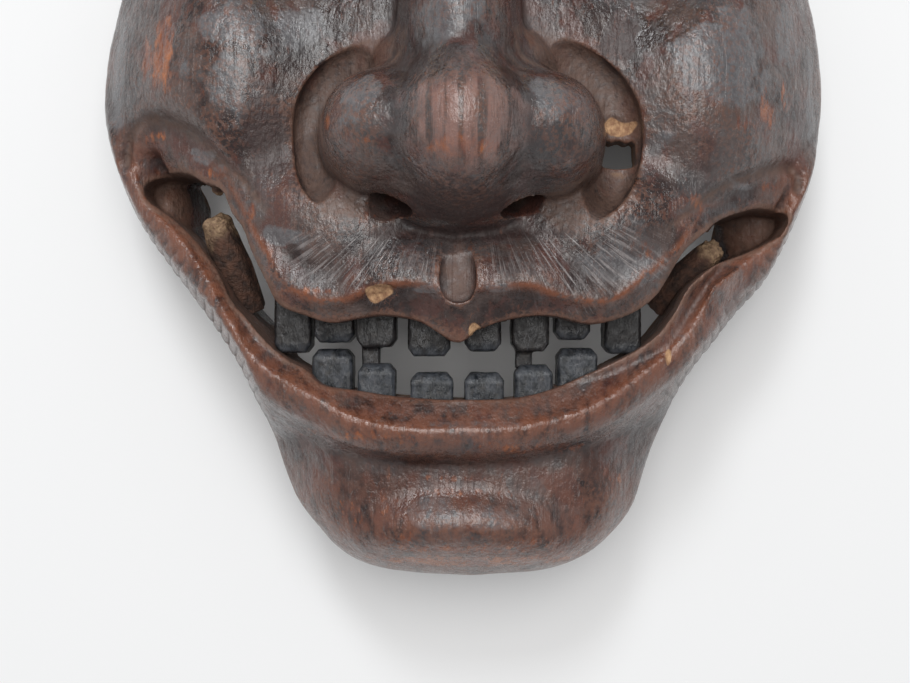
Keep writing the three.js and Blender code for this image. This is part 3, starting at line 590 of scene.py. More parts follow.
def face_height(x, y):
    """Height of the carved face over the back rim's plane."""
    upper_gap, upper_rise, _ = nearest(upper_crest, x, y)
    lower_gap, lower_rise, _ = nearest(lower_crest, x, y)
    corner = smooth_step(np.abs(x) / half_wide, *corner_span)
    crisp = upper_turn_drop * (1 - np.exp(-upper_gap / lip_turn)) + lip_slope * upper_gap
    rolled = corner_slope * upper_gap + upper_gap**2 / (2 * corner_bend)
    from_upper = upper_rise - crisp - (rolled - crisp) * corner
    lower_turn = lower_turn_drop * (1 - np.exp(-lower_gap / lip_turn))
    from_lower = lower_rise - lower_turn - lower_lip_slope * lower_gap
    chinward = smooth_step(-y / half_tall, *chin_span)
    wall_rise = side_rise + (chin_rise - side_rise) * chinward
    inwards = inside_by(x, y)
    edge = wall_rise + edge_height(inwards, edge_rise, edge_round + (chin_round - edge_round) * chinward)
    brow_lift = brow_rise * np.exp(-((nearest(brow, -np.abs(x), y)[0] / brow_half) ** 2))
    face = blend_min(broad_height(x, y) - eye_dip(x, y) + lid_lift(x, y) + brow_lift, edge, edge_seam)
    face = blend_min(face, upper_rise + fold_slope * upper_gap, fold_seam)
    beyond = np.maximum(lower_gap - lower_lip_half, 0)
    lower_drop = lower_lip_drop * np.minimum(lower_gap / lower_lip_half, 1) ** 2 + lower_lip_fall * beyond
    upper_band = upper_rise - upper_lip_drop * (upper_gap / upper_lip_half) ** 2
    face = blend_max(blend_max(face, lower_rise - lower_drop, lip_seam), upper_band, lip_seam)
    face = np.where(is_inside(lips, x, y), np.maximum(from_upper, from_lower), face)
    for crease in creases:
        gap, _, share = nearest(crease, x, y)
        face -= crease_deep * np.exp(-((gap / crease_half) ** 2)) * smooth_step(share, *crease_fade)
    return blend_min(face, wall_rise + wall_slope * np.maximum(inwards, 0), fold_seam)


def gouge_depth(x, y):
    """Depth of the gouge's scoops in the hollow, row beside row."""
    row = np.round(x / scoop_wide)
    across = x / scoop_wide - row
    offset = np.modf(np.sin(row * 12.9) * 43.7)[0]
    along = y / scoop_long + offset
    along -= np.round(along)
    return scoop_deep * (1 - 4 * across**2) * (1 - 3 * along**2)


def hollow_height(x, y):
    """Height of the hollow's roof over the rim's plane."""
    thicker = 0 * x
    for across, up in corner_shares:
        far = np.hypot(x - across * half_wide, y - up * half_tall)
        thicker = thicker + corner_wall * np.exp(-((far / corner_reach) ** 2))
    inwards = inside_by(x, y) - rim_wide - tuck_in - thicker
    side = edge_height(inwards, hollow_rise, hollow_round) + hollow_foot
    under_nose = rounded_height(nose_hollow_shares, x, y)
    roof = blend_max(broad_height(x, y) - eye_dip(x, y) - wall, under_nose, broad_seam)
    return blend_min(roof, side + wall, edge_seam) + gouge_depth(x, y)


# Working with meshes
def work_on(piece):
    if bpy.context.object and bpy.context.object.mode != "OBJECT":
        bpy.ops.object.mode_set(mode="OBJECT")
    bpy.ops.object.select_all(action="DESELECT")
    piece.select_set(True)
    bpy.context.view_layer.objects.active = piece


@contextmanager
def whole_mesh_of(piece):
    """Edit mode, with the whole mesh selected."""
    work_on(piece)
    bpy.ops.object.mode_set(mode="EDIT")
    bpy.ops.mesh.select_all(action="SELECT")
    yield
    bpy.ops.object.mode_set(mode="OBJECT")


def started(name, add, **settings):
    """A new piece that one of Blender's primitives starts."""
    bpy.ops.object.select_all(action="DESELECT")
    add(**settings)
    piece = bpy.context.object
    piece.name = name
    return piece


def settle(piece, size=(1, 1, 1), turn=(1, 0, 0, 0)):
    """Scales and turns the piece, and keeps that and its place in its mesh."""
    piece.scale = size
    piece.rotation_mode = "QUATERNION"
    piece.rotation_quaternion = turn
    work_on(piece)
    bpy.ops.object.transform_apply(location=True, rotation=True, scale=True)


def finished_with(piece, kind, **settings):
    work_on(piece)
    modifier = piece.modifiers.new(kind.lower(), kind)
    for name, value in settings.items():
        setattr(modifier, name, value)
    bpy.ops.object.modifier_apply(modifier=modifier.name)


def shaped(piece, tool, operation="DIFFERENCE"):
    finished_with(piece, "BOOLEAN", object=tool, operation=operation, solver="MANIFOLD")
    bpy.data.objects.remove(tool)


def remeshed(piece, grain, smoothing):
    finished_with(piece, "REMESH", mode="VOXEL", voxel_size=grain * MM)
    finished_with(piece, "SMOOTH", factor=0.5, iterations=smoothing)


def points_of(piece):
    flat = np.empty(len(piece.data.vertices) * 3)
    piece.data.vertices.foreach_get("co", flat)
    return flat.reshape(-1, 3)


def normals_of(piece):
    flat = np.empty(len(piece.data.vertices) * 3)
    piece.data.vertex_normals.foreach_get("vector", flat)
    return flat.reshape(-1, 3)


def neighbours_of(piece):
    ends = np.empty(len(piece.data.edges) * 2, int)
    piece.data.edges.foreach_get("vertices", ends)
    return ends.reshape(-1, 2)


def move_points(piece, points):
    piece.data.vertices.foreach_set("co", points.ravel())
    piece.data.update()


def thick_sheet(name, columns, rows, shape):
    """A sheet of columns by rows, extruded to a block. shape gets each point's place across and along,
    from -1 to 1, and whether it is on the extruded side, and returns its place in millimetres."""
    grid = bpy.ops.mesh.primitive_grid_add
    piece = started(name, grid, x_subdivisions=columns, y_subdivisions=rows, size=2)
    with whole_mesh_of(piece):
        bpy.ops.mesh.extrude_region_move(TRANSFORM_OT_translate={"value": (0, 0, 1)})
    flat = points_of(piece)
    top = flat[:, 2] > 0.5
    placed = np.empty(flat.shape)
    for side in (top, ~top):
        placed[side] = np.column_stack(shape(flat[side, 0], flat[side, 1], side is top))
    move_points(piece, placed * MM)
    with whole_mesh_of(piece):
        bpy.ops.mesh.normals_make_consistent(inside=False)
    return piece


def upright_block(name, points, levels):
    """A block on an outline. levels holds pairs of a height and the outline's share of its width there."""
    circle = bpy.ops.mesh.primitive_circle_add
    piece = started(name, circle, vertices=len(points), radius=1, fill_type="NGON")
    move_points(piece, np.column_stack([points[:, 0], points[:, 1], np.zeros(len(points))]) * MM)
    with whole_mesh_of(piece):
        bpy.ops.transform.translate(value=(0, 0, levels[0][0] * MM))
        for (before, _), (height, _) in zip(levels, levels[1:]):
            bpy.ops.mesh.extrude_region_move(TRANSFORM_OT_translate={"value": (0, 0, (height - before) * MM)})
    place = points_of(piece)
    drawn = np.interp(place[:, 2], [height * MM for height, _ in levels], [share for _, share in levels])
    place[:, :2] *= drawn[:, None]
    move_points(piece, place)
    with whole_mesh_of(piece):
        bpy.ops.mesh.normals_make_consistent(inside=False)
    return piece


def rounded_form(name, centre, size, segments=64, inwards=(0, 0, -1)):
    """An ellipsoid whose long axis points inwards."""
    sphere = bpy.ops.mesh.primitive_uv_sphere_add
    place = [c * MM for c in centre]
    piece = started(name, sphere, segments=segments, ring_count=segments // 2, radius=1, location=place)
    settle(piece, [s * MM for s in size], Vector((0, 0, -1)).rotation_difference(Vector(inwards)))
    return piece


def rod(name, start, end, radius, sides=32):
    start, end = Vector(start) * MM, Vector(end) * MM
    way, middle = end - start, (start + end) / 2
    cylinder = bpy.ops.mesh.primitive_cylinder_add
    piece = started(name, cylinder, vertices=sides, radius=radius * MM, depth=way.length, location=middle)
    settle(piece, turn=way.to_track_quat("Z", "Y"))
    return piece


def eyeball(name, side, within):
    centre = (side * eye_across, eye_up, eye_base)
    return rounded_form(name, centre, (eye_wide - within, eye_tall - within, eye_rise - within))


def pupil_rod(side, foot):
    return rod("pupil", (side * eye_across, eye_up, foot), (side * eye_across, eye_up, nose_rise), pupil_half)


def plate_blank(side, grown):
    """The oval column over an eye that its plate is cut from."""
    turn = np.linspace(0, 2 * math.pi, 72, endpoint=False)
    oval = np.column_stack([(plate_wide + grown) * np.cos(turn), (plate_tall + grown) * np.sin(turn)])
    return upright_block("plate_blank", oval + (side * eye_across, eye_up), [(eye_base, 1), (nose_rise, 1)])


# The carved shell
def wide_sheet(name, step, foot, height_at):
    """A block under the whole mask, whose top has a height at each place and stays over its foot."""

    def shape(across, along, top):
        x = across * (half_wide + overrun)
        y = along * (half_tall + overrun)
        return x, y, np.maximum(height_at(x, y), foot + 1) if top else np.full(x.shape, foot)

    return thick_sheet(
        name, round(2 * (half_wide + overrun) / step), round(2 * (half_tall + overrun) / step), shape
    )


def hollow_cutter():
    cutter = wide_sheet("hollow_cutter", hollow_step, -2 * overrun, hollow_height)
    side = inset_outline(rim_wide + tuck_in)
    shaped(cutter, upright_block("hollow_side", side, [(-3 * overrun, 1), (nose_rise, 1)]), "INTERSECT")
    return cutter


def side_wall():
    levels = []
    for height in np.linspace(0, tuck_height, 9):
        below = 1 - height / tuck_height
        levels.append((height, 1 - tuck_in / half_wide * below * below))
    levels.append((nose_rise + overrun, 1))
    return upright_block("side_wall", outline, levels)


def ring_cutter(line, half):
    """What is cut away round a nostril wing: a flat floor with rounded corners between upright walls,
    narrower towards its lower end."""
    turn = np.gradient(line[:, :2], axis=0)
    turn /= np.linalg.norm(turn, axis=1)[:, None]
    last = len(line) - 1
    narrowing = half * smooth_step(np.linspace(0, 1, last + 1), *ring_fade)

    def shape(across, along, top):
        i = np.clip(np.round((along + 1) / 2 * last).astype(int), 0, last)
        x = line[i, 0] - turn[i, 1] * across * narrowing[i]
        y = line[i, 1] + turn[i, 0] * across * narrowing[i]
        floor = line[i, 2] - narrowing[i] * (1 - 0.5 * np.abs(across) ** 3)
        return x, y, np.full(x.shape, nose_rise) if top else floor

    return thick_sheet("ring_cutter", 14, last, shape)


def carve_nose():
    wide, low, high, foot = np.array(nose_block_shares) * (half_wide, half_tall, half_tall, nose_rise)

    def shape(across, along, top):
        x = across * wide
        y = low + (along + 1) / 2 * (high - low)
        return x, y, np.maximum(nose_height(x, y), foot + clearance) if top else np.full(x.shape, foot)

    return thick_sheet("nose", round(2 * wide / nose_step), round((high - low) / nose_step), shape)


def rim_arch():
    """What lifts the back rim off the ground at the cheeks: a wide roller across the back."""
    radius = (arch_half**2 + arch_rise**2) / (2 * arch_rise)
    middle = arch_rise - radius
    return rod("rim_arch", (-2 * half_wide, 0, middle), (2 * half_wide, 0, middle), radius, 720)


def philtrum_cutter():
    """An egg-shaped groove with upright walls and a flat floor, wider towards the lip."""
    upper, lower = (np.array(place_of(share)) for share in philtrum_shares)
    turn = np.linspace(0, 2 * math.pi, 48, endpoint=False)
    side, end = np.cos(turn), np.sin(turn)
    across = philtrum_half * np.sign(side) * np.abs(side) ** 0.8 * (1 - philtrum_taper * end)
    up = (upper[1] - lower[1]) / 2 * end + (upper[1] + lower[1]) / 2
    egg = np.column_stack([upper[0] + across, up])
    return upright_block("philtrum", egg, [(upper[2] - philtrum_floor, 1), (upper[2] + philtrum_top, 1)])


def mouth_cutter():
    """The open mouth, less the inner walls that stay at its corners."""
    cutter = upright_block("mouth", mouth, [(-overrun, 1), (nose_rise, 1)])
    for (across, up), wide in zip(corner_shares, corner_wides):
        centre = (across * half_wide, up * half_tall, corner_foot)
        shaped(cutter, rounded_form("corner", centre, (wide, corner_tall, corner_high)))
    return cutter


def nostril_cutter(front, back):
    front, back = Vector(place_of(front)), Vector(place_of(back))
    return rounded_form("nostril", front, (nostril_wide, nostril_tall, nostril_deep), 40, back - front)


def break_cutter():
    """The broken hole beside the right wing."""
    x, y, _ = place_of(break_shares)
    edge = np.array(break_edge_shares) * (break_wide / 2, break_tall / 2) + (x, y)
    return upright_block("break", edge, [(-overrun, 1), (nose_rise, 1)])


def carve_shell():
    wood = wide_sheet("mask_wood", carve_step, -overrun, face_height)
    shaped(wood, side_wall(), "INTERSECT")
    for line, half in zip(rings, ring_half_shares):
        shaped(wood, ring_cutter(line, half * half_wide))
    shaped(wood, carve_nose(), "UNION")
    for side in (-1, 1):
        shaped(wood, eyeball("eyeball", side, 0), "UNION")
    for cutter in (hollow_cutter, rim_arch, mouth_cutter, philtrum_cutter):
        shaped(wood, cutter())
    for front, back in nostril_shares:
        shaped(wood, nostril_cutter(front, back))
    shaped(wood, break_cutter())
    remeshed(wood, grain_of_shell, 2)
    return wood


def solid_copy(node, name):
    """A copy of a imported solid, merged to one closed mesh."""
    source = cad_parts[node]
    copy = source.copy()
    copy.data = source.data.copy()
    copy.name = name
    copy.parent = None
    copy.matrix_world = source.matrix_world
    for key in [k for k in copy.keys() if k.startswith("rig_")]:
        del copy[key]
    bpy.context.collection.objects.link(copy)
    copy.hide_render = False
    with whole_mesh_of(copy):
        bpy.ops.mesh.remove_doubles(threshold=merged_within * MM)
    work_on(copy)
    bpy.ops.object.transform_apply(location=True, rotation=True, scale=True)
    copy.data.materials.clear()
    return copy


def evened(values, edges, times):
    """Values at the points of a mesh, each mixed with those of its neighbours again and again."""
    count = len(values)
    shared = np.bincount(edges.ravel(), minlength=count) + 1e-9
    here, there = edges.T
    for _ in range(times):
        total = np.bincount(here, values[there], count) + np.bincount(there, values[here], count)
        values = 0.5 * values + 0.5 * total / shared
    return values


def standing_out(piece, times):
    """How far each point stands out from the evened surface round it, in millimetres."""
    points, normals, edges = points_of(piece) / MM, normals_of(piece), neighbours_of(piece)
    gone = np.column_stack([evened(points[:, k], edges, times) for k in range(3)]) - points
    return -(gone * normals).sum(axis=1)


def noise(points, size, seed):
    """Smooth noise from -1 to 1, with grains of some size in millimetres."""
    place = points / size + seed * 7.3
    corner = np.floor(place)
    along = place - corner
    along = along * along * (3 - 2 * along)
    total = np.zeros(len(points))
    for step in np.ndindex(2, 2, 2):
        share = np.prod(np.where(np.array(step) == 1, along, 1 - along), axis=1)
        value = np.sin((corner + step) @ (127.1, 311.7, 74.7)) * 43758.5
        total += share * (2 * (value - np.floor(value)) - 1)
    return total


def spotted(points, spots):
    """Soft, ragged spots on the face."""
    mask = np.zeros(len(points))
    ragged = 1 + 0.7 * noise(points, 2.6, 11)
    x, y = points[:, 0] / half_wide, points[:, 1] / half_tall
    for across, up, wide, tall, strength in spots:
        far = ((x - across) ** 2 / wide**2 + (y - up) ** 2 / tall**2) * ragged
        mask = np.maximum(mask, strength * np.exp(-(far**2)))
    return mask * (points[:, 2] > side_rise)


def marked(piece, **marks):
    """Keeps values from 0 to 1 at each point of a mesh for its material."""
    for name, values in marks.items():
        layer = piece.data.attributes.new(name, "FLOAT", "POINT")
        layer.data.foreach_set("value", np.clip(values, 0, 1).astype(np.float32))


def mark_edges(piece, times, worn, crevice):
    """Marks where the piece stands out and is worn, and where it falls back."""
    out = standing_out(piece, times)
    marked(piece, worn=out * worn, crevice=-out * crevice)


def work_surface(wood):
    """The knife's unevenness, chips, the crumbled break, and the short cuts across the sides."""
    points, normals = points_of(wood) / MM, normals_of(wood)
    x, y = points[:, 0], points[:, 1]
    outside = np.clip(normals[:, 2] * 3 + 1.2, 0, 1) * (points[:, 2] > arch_rise + 2)
    move = wave_deep * noise(points, wave_long, 1) + ripple_deep * noise(points, ripple_long, 2)
    move -= side_shaved * (1 - np.abs(normals[:, 2]))
    move -= spotted(points, read_off(raw_spots)) * chip_deep * (1 + noise(points, chip_long, 3))
    inwards, _, along = nearest(outline, x, y, True)
    rows = np.sin(along * 2 * math.pi * rows_of_cuts) ** 8
    jaw = smooth_step(-y / half_tall, *cuts_start) * smooth_step(-y / half_tall, *cuts_stop)
    uneven = 0.6 + 0.4 * noise(points, cut_long, 4)
    move -= cut_deep * rows * jaw * smooth_step(inwards, *cut_reach) * uneven
    move_points(wood, (points + normals * (move * outside)[:, None]) * MM)


def line_on(gap, half):
    """A soft line as wide as half on both sides, from the distance to its middle."""
    return np.exp(-((gap / half) ** 2))


def dust_on(points):
    """Dust in the rings, in the creases, in the mouth and in the groove under the nose."""
    x, y, z = points.T
    dust = 1.6 * spotted(points, streak_spots[1:])
    for line, half, strength in zip(rings, ring_half_shares, ring_dust):
        gap, height, _ = nearest(line, x, y)
        side = half * half_wide
        floor = strength * smooth_step(gap, side + 0.6, side - 1) * (z < height)
        foot = 0.9 * line_on(gap - side, 0.6) * (noise(points, 4, 13) > -0.2)
        dust = np.maximum.reduce([dust, floor, foot])
    for line in creases:
        gap, _, share = nearest(line, x, y)
        dust = np.maximum(dust, 0.7 * line_on(gap, crease_dust_half) * smooth_step(share, 1, 0.8))
    in_mouth = is_inside(mouth, x, y) | (nearest(mouth, x, y, True)[0] < mouth_dust_reach)
    deeper = smooth_step(np.abs(x) / half_wide, *mouth_dust_span)
    dust = np.maximum(dust, in_mouth * (0.4 + 0.5 * deeper))
    return dust * (z > 20)


def mark_surface(wood):
    """Where the lacquer is worn, chipped or dust lies on it, where it is greyer with a painted sheen, and
    where shade is painted in crevices, under the nose and under the lips, for the material.
    """
    points, normals = points_of(wood) / MM, normals_of(wood)
    x, y, z = points.T
    front = np.clip(normals[:, 2] * 4 + 1.5, 0, 1) * (z > side_rise - 8)
    sharp, broad = standing_out(wood, 4), standing_out(wood, 30)
    marked(
        wood,
        worn=np.maximum(sharp * 5, broad * 1.1) * front,
        crevice=np.maximum(-sharp * 5, -broad * 0.9) * front,
    )
    upper_gap, _, upper_share = nearest(upper_crest, x, y)
    lower_gap = nearest(lower_crest, x, y)[0]
    strong = smooth_step(upper_share, *line_start) * smooth_step(upper_share, *line_stop)
    strong *= 1 - 0.7 * smooth_step(np.abs(x) / half_wide, *line_break)
    lines = line_on(upper_gap, upper_line_half) * strong
    lines += lower_line_share * line_on(lower_gap, lower_line_half)
    under_chin = chin_brown_share * smooth_step(-y / half_tall, *chin_brown_span)
    band = np.maximum(line_on(lower_gap, lip_band_half), under_chin)
    marked(wood, lip_line=lines * front, lip_band=band * front)
    marked(
        wood,
        orange=spotted(points, read_off(orange_spots)),
        raw=spotted(points, read_off(raw_spots)),
        haze=spotted(points, read_off(haze_spots)),
        dark=spotted(points, read_off(dark_spots)),
        strokes=spotted(points, stroke_spots),
        streaks=spotted(points, streak_spots) * (z > streak_foot_share * nose_rise),
    )
    way = np.arctan2(y - stroke_shares[1] * half_tall, np.abs(x) - stroke_shares[0] * half_wide)
    marked(wood, stroke_way=way / (2 * math.pi) + 0.5, stroke_far=np.hypot(x, y) / half_tall)
    marked(wood, dusty=dust_on(points))
    under = (z < 2) | ((normals[:, 2] < -0.05) & (inside_by(x, y) > rim_wide - 1))
    inner = is_inside(inset_outline(rim_wide + tuck_in - 1), x, y) & (z < hollow_height(x, y) + 2.5)
    marked(wood, inside=under | inner)


def without_crumbs(piece):
    """The piece alone, without the slivers and loose crumbs that the cuts left."""
    with whole_mesh_of(piece):
        bpy.ops.mesh.remove_doubles(threshold=crumb * MM)
        bpy.ops.mesh.dissolve_degenerate(threshold=crumb * MM)
        bpy.ops.mesh.quads_convert_to_tris()
        bpy.ops.mesh.select_all(action="DESELECT")
        bpy.ops.mesh.select_non_manifold(
            extend=False, use_multi_face=False, use_non_contiguous=False, use_verts=False
        )
        bpy.ops.mesh.delete(type="FACE")
        bpy.ops.mesh.select_all(action="SELECT")
        bpy.ops.mesh.separate(type="LOOSE")
    *crumbs, kept = sorted(bpy.context.selected_objects, key=lambda part: len(part.data.polygons))
    for part in crumbs:
        bpy.data.objects.remove(part)
    return kept


def fit_shell(wood):
    work_surface(wood)
    triangles = sum(len(p.vertices) - 2 for p in wood.data.polygons)
    finished_with(wood, "DECIMATE", decimate_type="COLLAPSE", ratio=min(1, shell_faces / triangles))
    sockets = [solid_copy(name, "socket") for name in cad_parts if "tooth" in name or "tusk" in name]
    work_on(sockets[0])
    for socket in sockets:
        socket.select_set(True)
    bpy.ops.object.join()
    shaped(wood, sockets[0])
    across = half_wide + overrun
    up, out = cord_shares[0] * half_tall, cord_shares[1] * nose_rise
    for side in (-1, 1):
        inner_end = (side * (across - 3 * rim_wide), up, out)
        shaped(wood, rod("cord_hole", (side * across, up, out), inner_end, cord_half))
        seat = plate_blank(side, clearance)
        shaped(seat, eyeball("eyeball", side, plate_thick - plate_proud + clearance))
        shaped(wood, seat)
        shaped(wood, pupil_rod(side, -overrun))
    wood = without_crumbs(wood)
    mark_surface(wood)
    return wood


def faceted(points, middle, half, seed):
    """Points cut back to flat facets, as a knife leaves them round the corners of a block."""
    turn = np.random.default_rng(int(abs(seed) * 10))
    for _ in range(facets):
        way = turn.normal(size=3) * (1, 1, 0.8)
        way[2] = abs(way[2])
        way /= np.linalg.norm(way)
        reach = (np.abs(way) @ half) * turn.uniform(*facet_reach)
        beyond = np.maximum((points - middle) @ way - reach, 0)
        points = points - beyond[:, None] * way
    return points


def carve_tooth(node):
    """A tooth with knife-cut corners and an uneven front that slopes back to its tip."""
    piece = solid_copy(node, "carved_" + node)
    remeshed(piece, grain_of_teeth, 1)
    points = points_of(piece) / MM
    low, high = points.min(axis=0), points.max(axis=0)
    upper = node.startswith("upper")
    tip = points[:, 1] - low[1] if upper else high[1] - points[:, 1]
    front = smooth_step(high[2] - points[:, 2], 3, 0.5)
    slope = upper_tooth_slope if upper else lower_tooth_slope
    points[:, 2] -= front * slope * np.clip(1 - tip / tooth_slope_long, 0, 1) ** 1.5
    points = faceted(points, (low + high) / 2, (high - low) / 2, low[0])
    # Painted shade on the upper teeth, darker towards the lip they sit under, and on the posts
    shade = smooth_step(tip, 0.5, 3.5) if upper else 0 * tip
    if upper and np.ptp(points[tip < 1, 0]) < 0.6 * (high[0] - low[0]):  # it ends in a post
        points[:, 1] -= post_reach * smooth_step(tip, 2, 0.5)
        shade = np.maximum(shade, smooth_step(tip, 4, 2.5))
    move_points(piece, points * MM)
    normals = normals_of(piece)
    move = tooth_wave_deep * noise(points, tooth_wave_long, low[0]) - tooth_shaved
    move += tooth_speck_deep * noise(points, tooth_speck_long, low[0] + 1)
    move_points(piece, (points + normals * move[:, None]) * MM)
    mark_edges(piece, 5, 5, 5)
    marked(piece, dusty=shade)
    return piece


def carve_tusk(node):
    """A broken tusk: split along its grain, and rough at its tip."""
    piece = solid_copy(node, "carved_" + node)
    remeshed(piece, grain_of_teeth, 2)
    points, normals = points_of(piece) / MM, normals_of(piece)
    root, tip = (np.array(place_of(share)) for share in tusk_ends[node])
    along = (points - root) @ (tip - root) / ((tip - root) @ (tip - root))
    near_tip = smooth_step(along, 0.75, 0.95)
    grain = points - np.outer(along, tip - root) * 0.8
    move = split_deep * noise(grain, split_long, 5) - tusk_shaved
    move += near_tip * (tip_speck_deep * noise(points, tip_speck_long, 6) - tip_shaved)
    move_points(piece, (points + normals * move[:, None]) * MM)
    mark_edges(piece, 6, 3, 3)
    marked(piece, raw=smooth_step(along + 0.12 * noise(points, 2.5, 8), 0.72, 0.92))
    return piece


def beat_plate(side, name):
    piece = eyeball(name, side, -plate_proud)
    shaped(piece, eyeball("eyeball", side, plate_thick - plate_proud))
    shaped(piece, plate_blank(side, 0), "INTERSECT")
    shaped(piece, pupil_rod(side, 0))
    remeshed(piece, grain_of_plates, 1)
    points, normals = points_of(piece) / MM, normals_of(piece)
    move_points(piece, (points + normals * (dent_deep * noise(points, dent_long, 9))[:, None]) * MM)
    mark_edges(piece, 8, 4, 5)
    return piece


# Materials
def wire(tree, kind, inputs=(), **settings):
    """Adds a shader node, with its settings, and each input set or joined to another node's socket."""
    node = tree.nodes.new("ShaderNode" + kind)
    for name, value in settings.items():
        setattr(node, name, value)
    for name, value in dict(inputs).items():
        fed(tree, node.inputs[name], value)
    return node


def fed(tree, socket, value):
    """Joins another node's socket to this one, or sets a value or a color on it."""
    if isinstance(value, bpy.types.NodeSocket):
        tree.links.new(value, socket)
    elif socket.type == "RGBA":
        socket.default_value = (*value, 1)
    else:
        socket.default_value = value


def figure(tree, operation, a, b=0.0, c=0.0):
    return wire(tree, "Math", {0: a, 1: b, 2: c}, operation=operation).outputs[0]


def product(tree, a, b):
    return figure(tree, "MULTIPLY", a, b)


def limited(tree, value, low, high, start=0.0, end=1.0):
    return wire(
        tree, "MapRange", {"Value": value, "From Min": low, "From Max": high, "To Min": start, "To Max": end}
    ).outputs[0]


def tinted(tree, share, under, over):
    """The color over laid on the color under, as far as share goes."""
    return wire(tree, "Mix", {0: share, 6: under, 7: over}, data_type="RGBA").outputs[2]


def effect(name, *figures):
    """A node group that turns a place, a stretch and some figures into a mask."""
    tree = bpy.data.node_groups.new(name, "ShaderNodeTree")
    for title in ("Place", "Stretch"):
        tree.interface.new_socket(title, in_out="INPUT", socket_type="NodeSocketVector")
    for title in figures:
        tree.interface.new_socket(title, in_out="INPUT", socket_type="NodeSocketFloat")
    tree.interface.new_socket("Mask", in_out="OUTPUT", socket_type="NodeSocketFloat")
    given = tree.nodes.new("NodeGroupInput").outputs
    stretched = {0: given["Place"], 1: given["Stretch"]}
    place = wire(tree, "VectorMath", stretched, operation="MULTIPLY").outputs[0]
    return tree, given, place, tree.nodes.new("NodeGroupOutput").inputs["Mask"]


def patches_effect():
    """Cloudy patches. Stretch is how many there are to a millimetre each way."""
    tree, given, place, mask = effect("patches", "From", "To")
    cloud = wire(tree, "TexNoise", {"Vector": place, "Scale": 1.0, "Detail": 5.0, "Roughness": 0.6})
    tree.links.new(limited(tree, cloud.outputs[0], given["From"], given["To"]), mask)
    return tree


def cracks_effect():
    """Fine cracked lines, broken off here and there."""
    tree, given, place, mask = effect("cracks", "Width", "Spread")
    sway = wire(tree, "TexNoise", {"Vector": place, "Scale": 1.7, "Detail": 3.0}).outputs[1]
    half_sway = {0: sway, 1: (0.5, 0.5, 0.5), 2: place}
    moved = wire(tree, "VectorMath", half_sway, operation="MULTIPLY_ADD").outputs[0]
    far = wire(tree, "TexVoronoi", {"Vector": moved, "Scale": 1.0}, feature="DISTANCE_TO_EDGE").outputs[0]
    line = limited(tree, far, 0.0, given["Width"], 1.0, 0.0)
    cloud = wire(tree, "TexNoise", {"Vector": place, "Scale": 0.45, "Detail": 2.0}).outputs[0]
    low = figure(tree, "SUBTRACT", 1.0, given["Spread"])
    kept = limited(tree, cloud, low, figure(tree, "ADD", low, 0.12))
    tree.links.new(product(tree, line, kept), mask)
    return tree


patches_group, cracks_group = patches_effect(), cracks_effect()


class Surface:
    """A material under way: its nodes, the place on the object in millimetres, and its color so far."""

    def __init__(self, name):
        self.material = bpy.data.materials.new(name)
        self.material.use_nodes = True
        self.tree = self.material.node_tree
        self.shader = self.tree.nodes["Principled BSDF"]
        place = wire(self.tree, "TexCoord").outputs["Object"]
        self.place = wire(self.tree, "VectorMath", {0: place, 3: 1 / MM}, operation="SCALE").outputs[0]

    def mark(self, name):
        return wire(self.tree, "Attribute", attribute_name=name).outputs["Fac"]

    def patches(self, stretch, low, high, place=None):
        given = {"Place": place or self.place, "Stretch": stretch, "From": low, "To": high}
        return wire(self.tree, "Group", given, node_tree=patches_group).outputs["Mask"]

    def cracks(self, stretch, width, spread):
        given = {"Place": self.place, "Stretch": stretch, "Width": width, "Spread": spread}
        return wire(self.tree, "Group", given, node_tree=cracks_group).outputs["Mask"]

    def ground(self, mask, under, over):
        self.color = tinted(self.tree, mask, under, over)

    def coat(self, mask, share, color):
        """Lays a color over what is there, where the mask is and as far as share goes."""
        self.color = tinted(self.tree, product(self.tree, mask, share), self.color, color)

    def finish(self, roughness, height, depth, **settings):
        bump = wire(self.tree, "Bump", {"Height": height, "Distance": depth * MM, "Strength": 1.0})
        given = {"Base Color": self.color, "Roughness": roughness, "Normal": bump.outputs[0], **settings}
        for name, value in given.items():
            fed(self.tree, self.shader.inputs[name], value)
        return self.material


